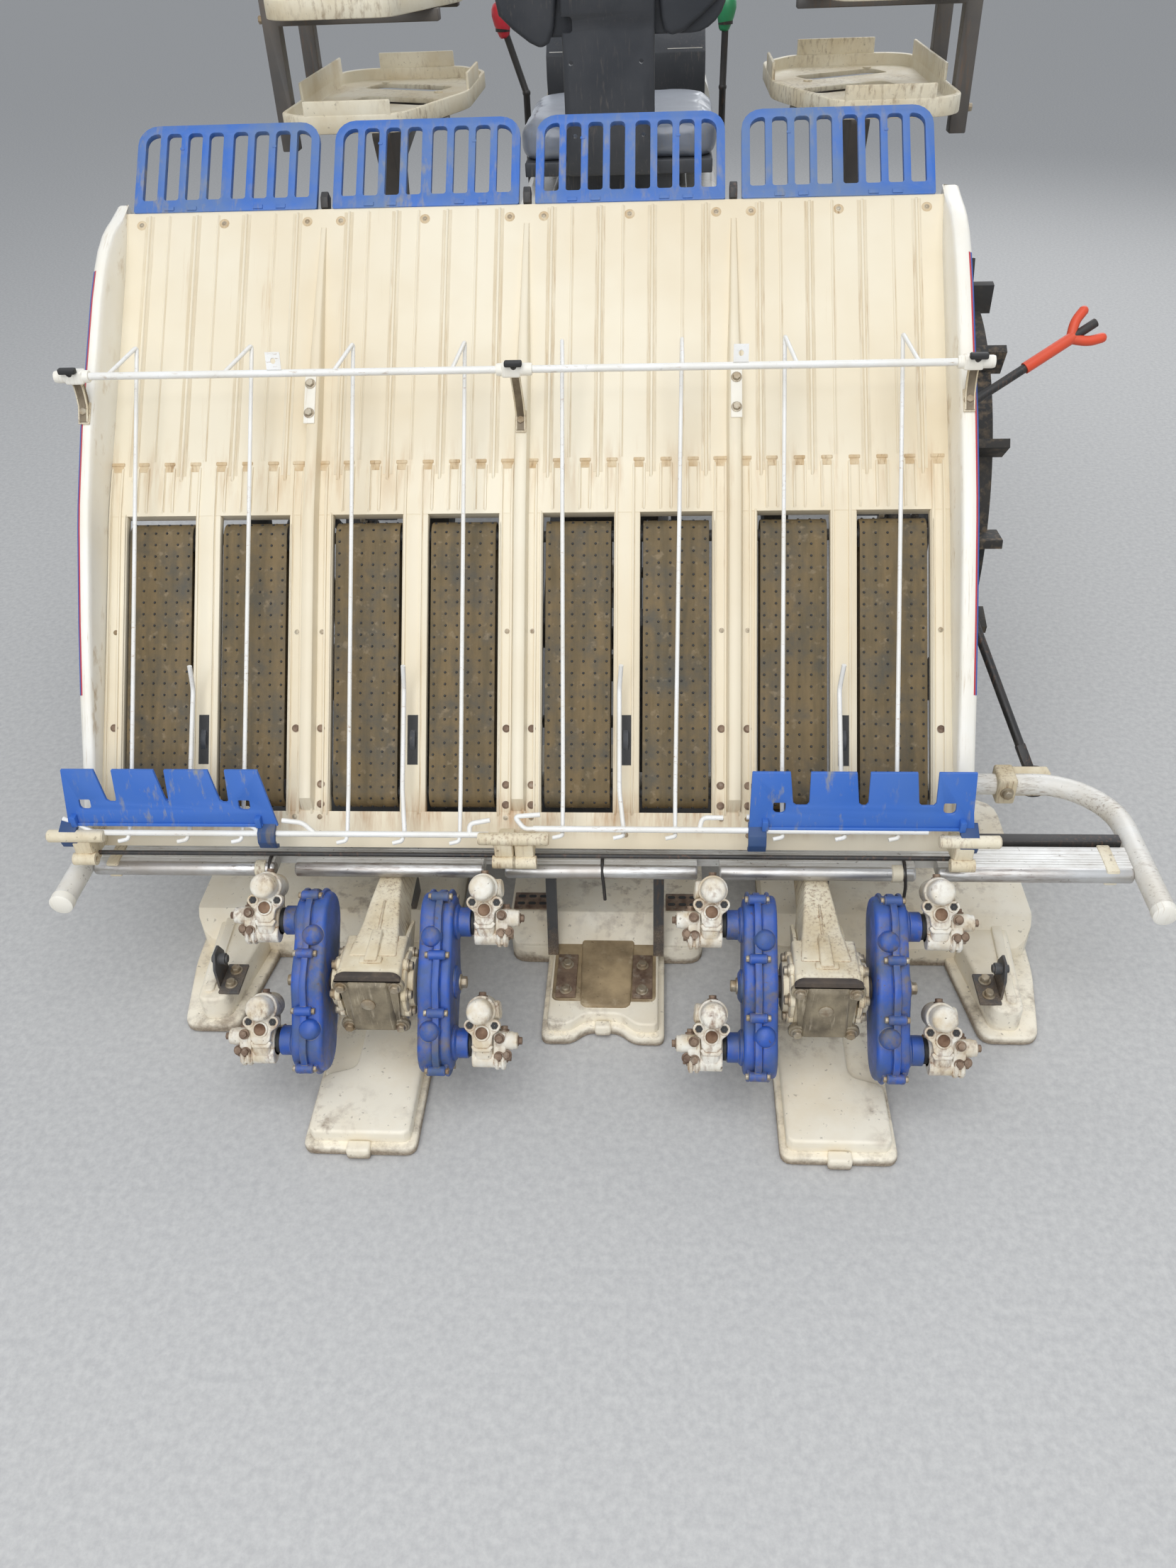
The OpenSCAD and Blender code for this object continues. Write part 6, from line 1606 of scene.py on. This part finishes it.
def makeFloor():
    # ribs on both foot boards, which leave the racks' feet free, and on the front part
    parts = [fromNode("step_floor", 3, 2, "stepFloor")]
    for k in range(30):
        y = 1238 + 15.4 * k
        outer = 388 if abs(y - 1490) < 75 else 462 if k < 27 else 430
        for side in (-1, 1):
            x0, x1 = between(0, side, 200, outer)
            parts.append(box("rib", (x0, y, 603), (x1, y + 6, 606.5)))
    for k in range(24):
        y = 1712 + 11.5 * k
        parts += [box("rib", (x0, y, 603), (x1, y + 5, 606.5))
                  for x0, x1 in ((-322, -228), (-186, 186), (228, 322))]
    finished("stepMat", parts, "chassis", "stepRubber", ["step_floor"])
    settle(smooth(fromNode("bonnet", 2, 2, "bonnetCover"), 30), "chassis", "coverWhite", ["bonnet"])
    lenses = []
    for side in (-1, 1):
        for name, profile in (("lampRim", [(0, 0), (0, 44), (9, 44), (12, 41), (12, 37), (6, 35), (6, 0)]),
                              ("lampGlass", [(5, 0), (5, 36), (15, 35), (20, 22), (22, 0)])):
            lenses.append(turned(name, profile, (side * 112, 2410.6, 794), (0, 1, 0), 40))
    finished("headLamps", lenses, "chassis", "lampGlass", ["lamps"], 30)


# chassis, axles, links and wheels keep the CAD's forms with softened edges
carriedForms = [        # nodes of one body, slot and look, each with its edge in mm
    ("chassis", "frame_paint", "framePaint",
     (("frame_rails", 3), ("rear_axle", 3), ("front_axle", 3), ("front_guard", 1.5))),
    ("chassis", "cast_grey", "castGrey", (("transmission", 8), ("engine", 10))),
    ("knuckle_left", "frame_paint", "framePaint", (("knuckle_left", 3),)),
    ("knuckle_right", "frame_paint", "framePaint", (("knuckle_right", 3),)),
    ("lower_link", "frame_paint", "framePaint", (("lower_link", 2),)),
    ("upper_link", "frame_paint", "framePaint", (("upper_link", 2),)),
    ("lift_barrel", "cast_grey", "castGrey", (("lift_barrel", 2),)),
    ("lift_rod", "bright_steel", "brightSteel", (("lift_rod", 1.5),)),
    ("planter", "frame_paint", "framePaint", (("hitch_frame", 2.5), ("main_beam", 2.5), ("table_posts", 2))),
    ("table", "frame_paint", "framePaint", (("table_frame", 1.5),)),
]


def makeChassis():
    for body, slotName, look, nodes in carriedForms:
        for node, edge in nodes:
            settle(fromNode(node, edge), body, look, [node])
    fins = [rounded(box("fin", (-176, 2144, z), (176, 2356, z + 7)), 2) for z in range(612, 612 + 9 * 26, 26)]
    fins.append(turned("fuelCap", [(0, 0), (0, 26), (14, 26), (18, 22), (18, 0)], (70, 2200, 849), (0, 0, 1), 28))
    finished("engineFins", fins, "chassis", "castGrey")
    nuts = [((x, y, 400.5), (0, 0, -1), x + y) for x in (-80, 0, 80) for y in (1718, 1800, 1884)]
    for side in (-1, 1):
        nuts += [((side * 500.5, 1130 + dy, 398 + dz), (side, 0, 0), turn)
                 for turn, dy, dz in boltCircle(range(0, 360, 60), 46)]
        nuts += [((side * 170, y, 580), (0, 0, 1), y) for y in (1090, 1180)]
        nuts += [((side * 112, y, z), (side, 0, 0), y) for y, z in ((985, 560), (1025, 520), (1045, 560))]
    repeated("frameBolts", hexBolt(17, 0.6), nuts, "chassis", "zincBolt")


def makeWheels():
    disc = [(-14, 20), (-14, 64), (-11, 67), (11, 67), (14, 64), (14, 20)]
    cap = [(40, 20), (40, 43), (46, 42), (50, 34), (52, 0), (47, 0), (46, 20)]
    for place, y, z, x in (("rear", 1130, 398.6, 600), ("front", 2030, 296.4, 595)):
        for side, name in ((-1, "left"), (1, "right")):
            body, hub, axis = f"{place}_wheel_{name}", (side * x, y, z), (side, 0, 0)
            settle(smooth(fromNode(body, 2.6, 2, body + "_tyre"), 35), body, "tyreRubber", [body])
            parts = [turned("hubDisc", disc, hub, axis, 40), turned("hubCap", cap, hub, axis, 36)]
            finished(body + "_hub", parts, body, "castGrey")
            bolts = [((side * (x + 14), y + dy, z + dz), axis, turn - 30)
                     for turn, dy, dz in boltCircle(range(30, 390, 60), 55)]
            repeated(body + "_bolts", hexBolt(17, 0.6), bolts, body, "zincBolt")


makeSeat()
makeRacks()
makeControls()
makeFloor()
makeChassis()
makeWheels()
print("stage: seat, racks, controls, chassis and wheels")
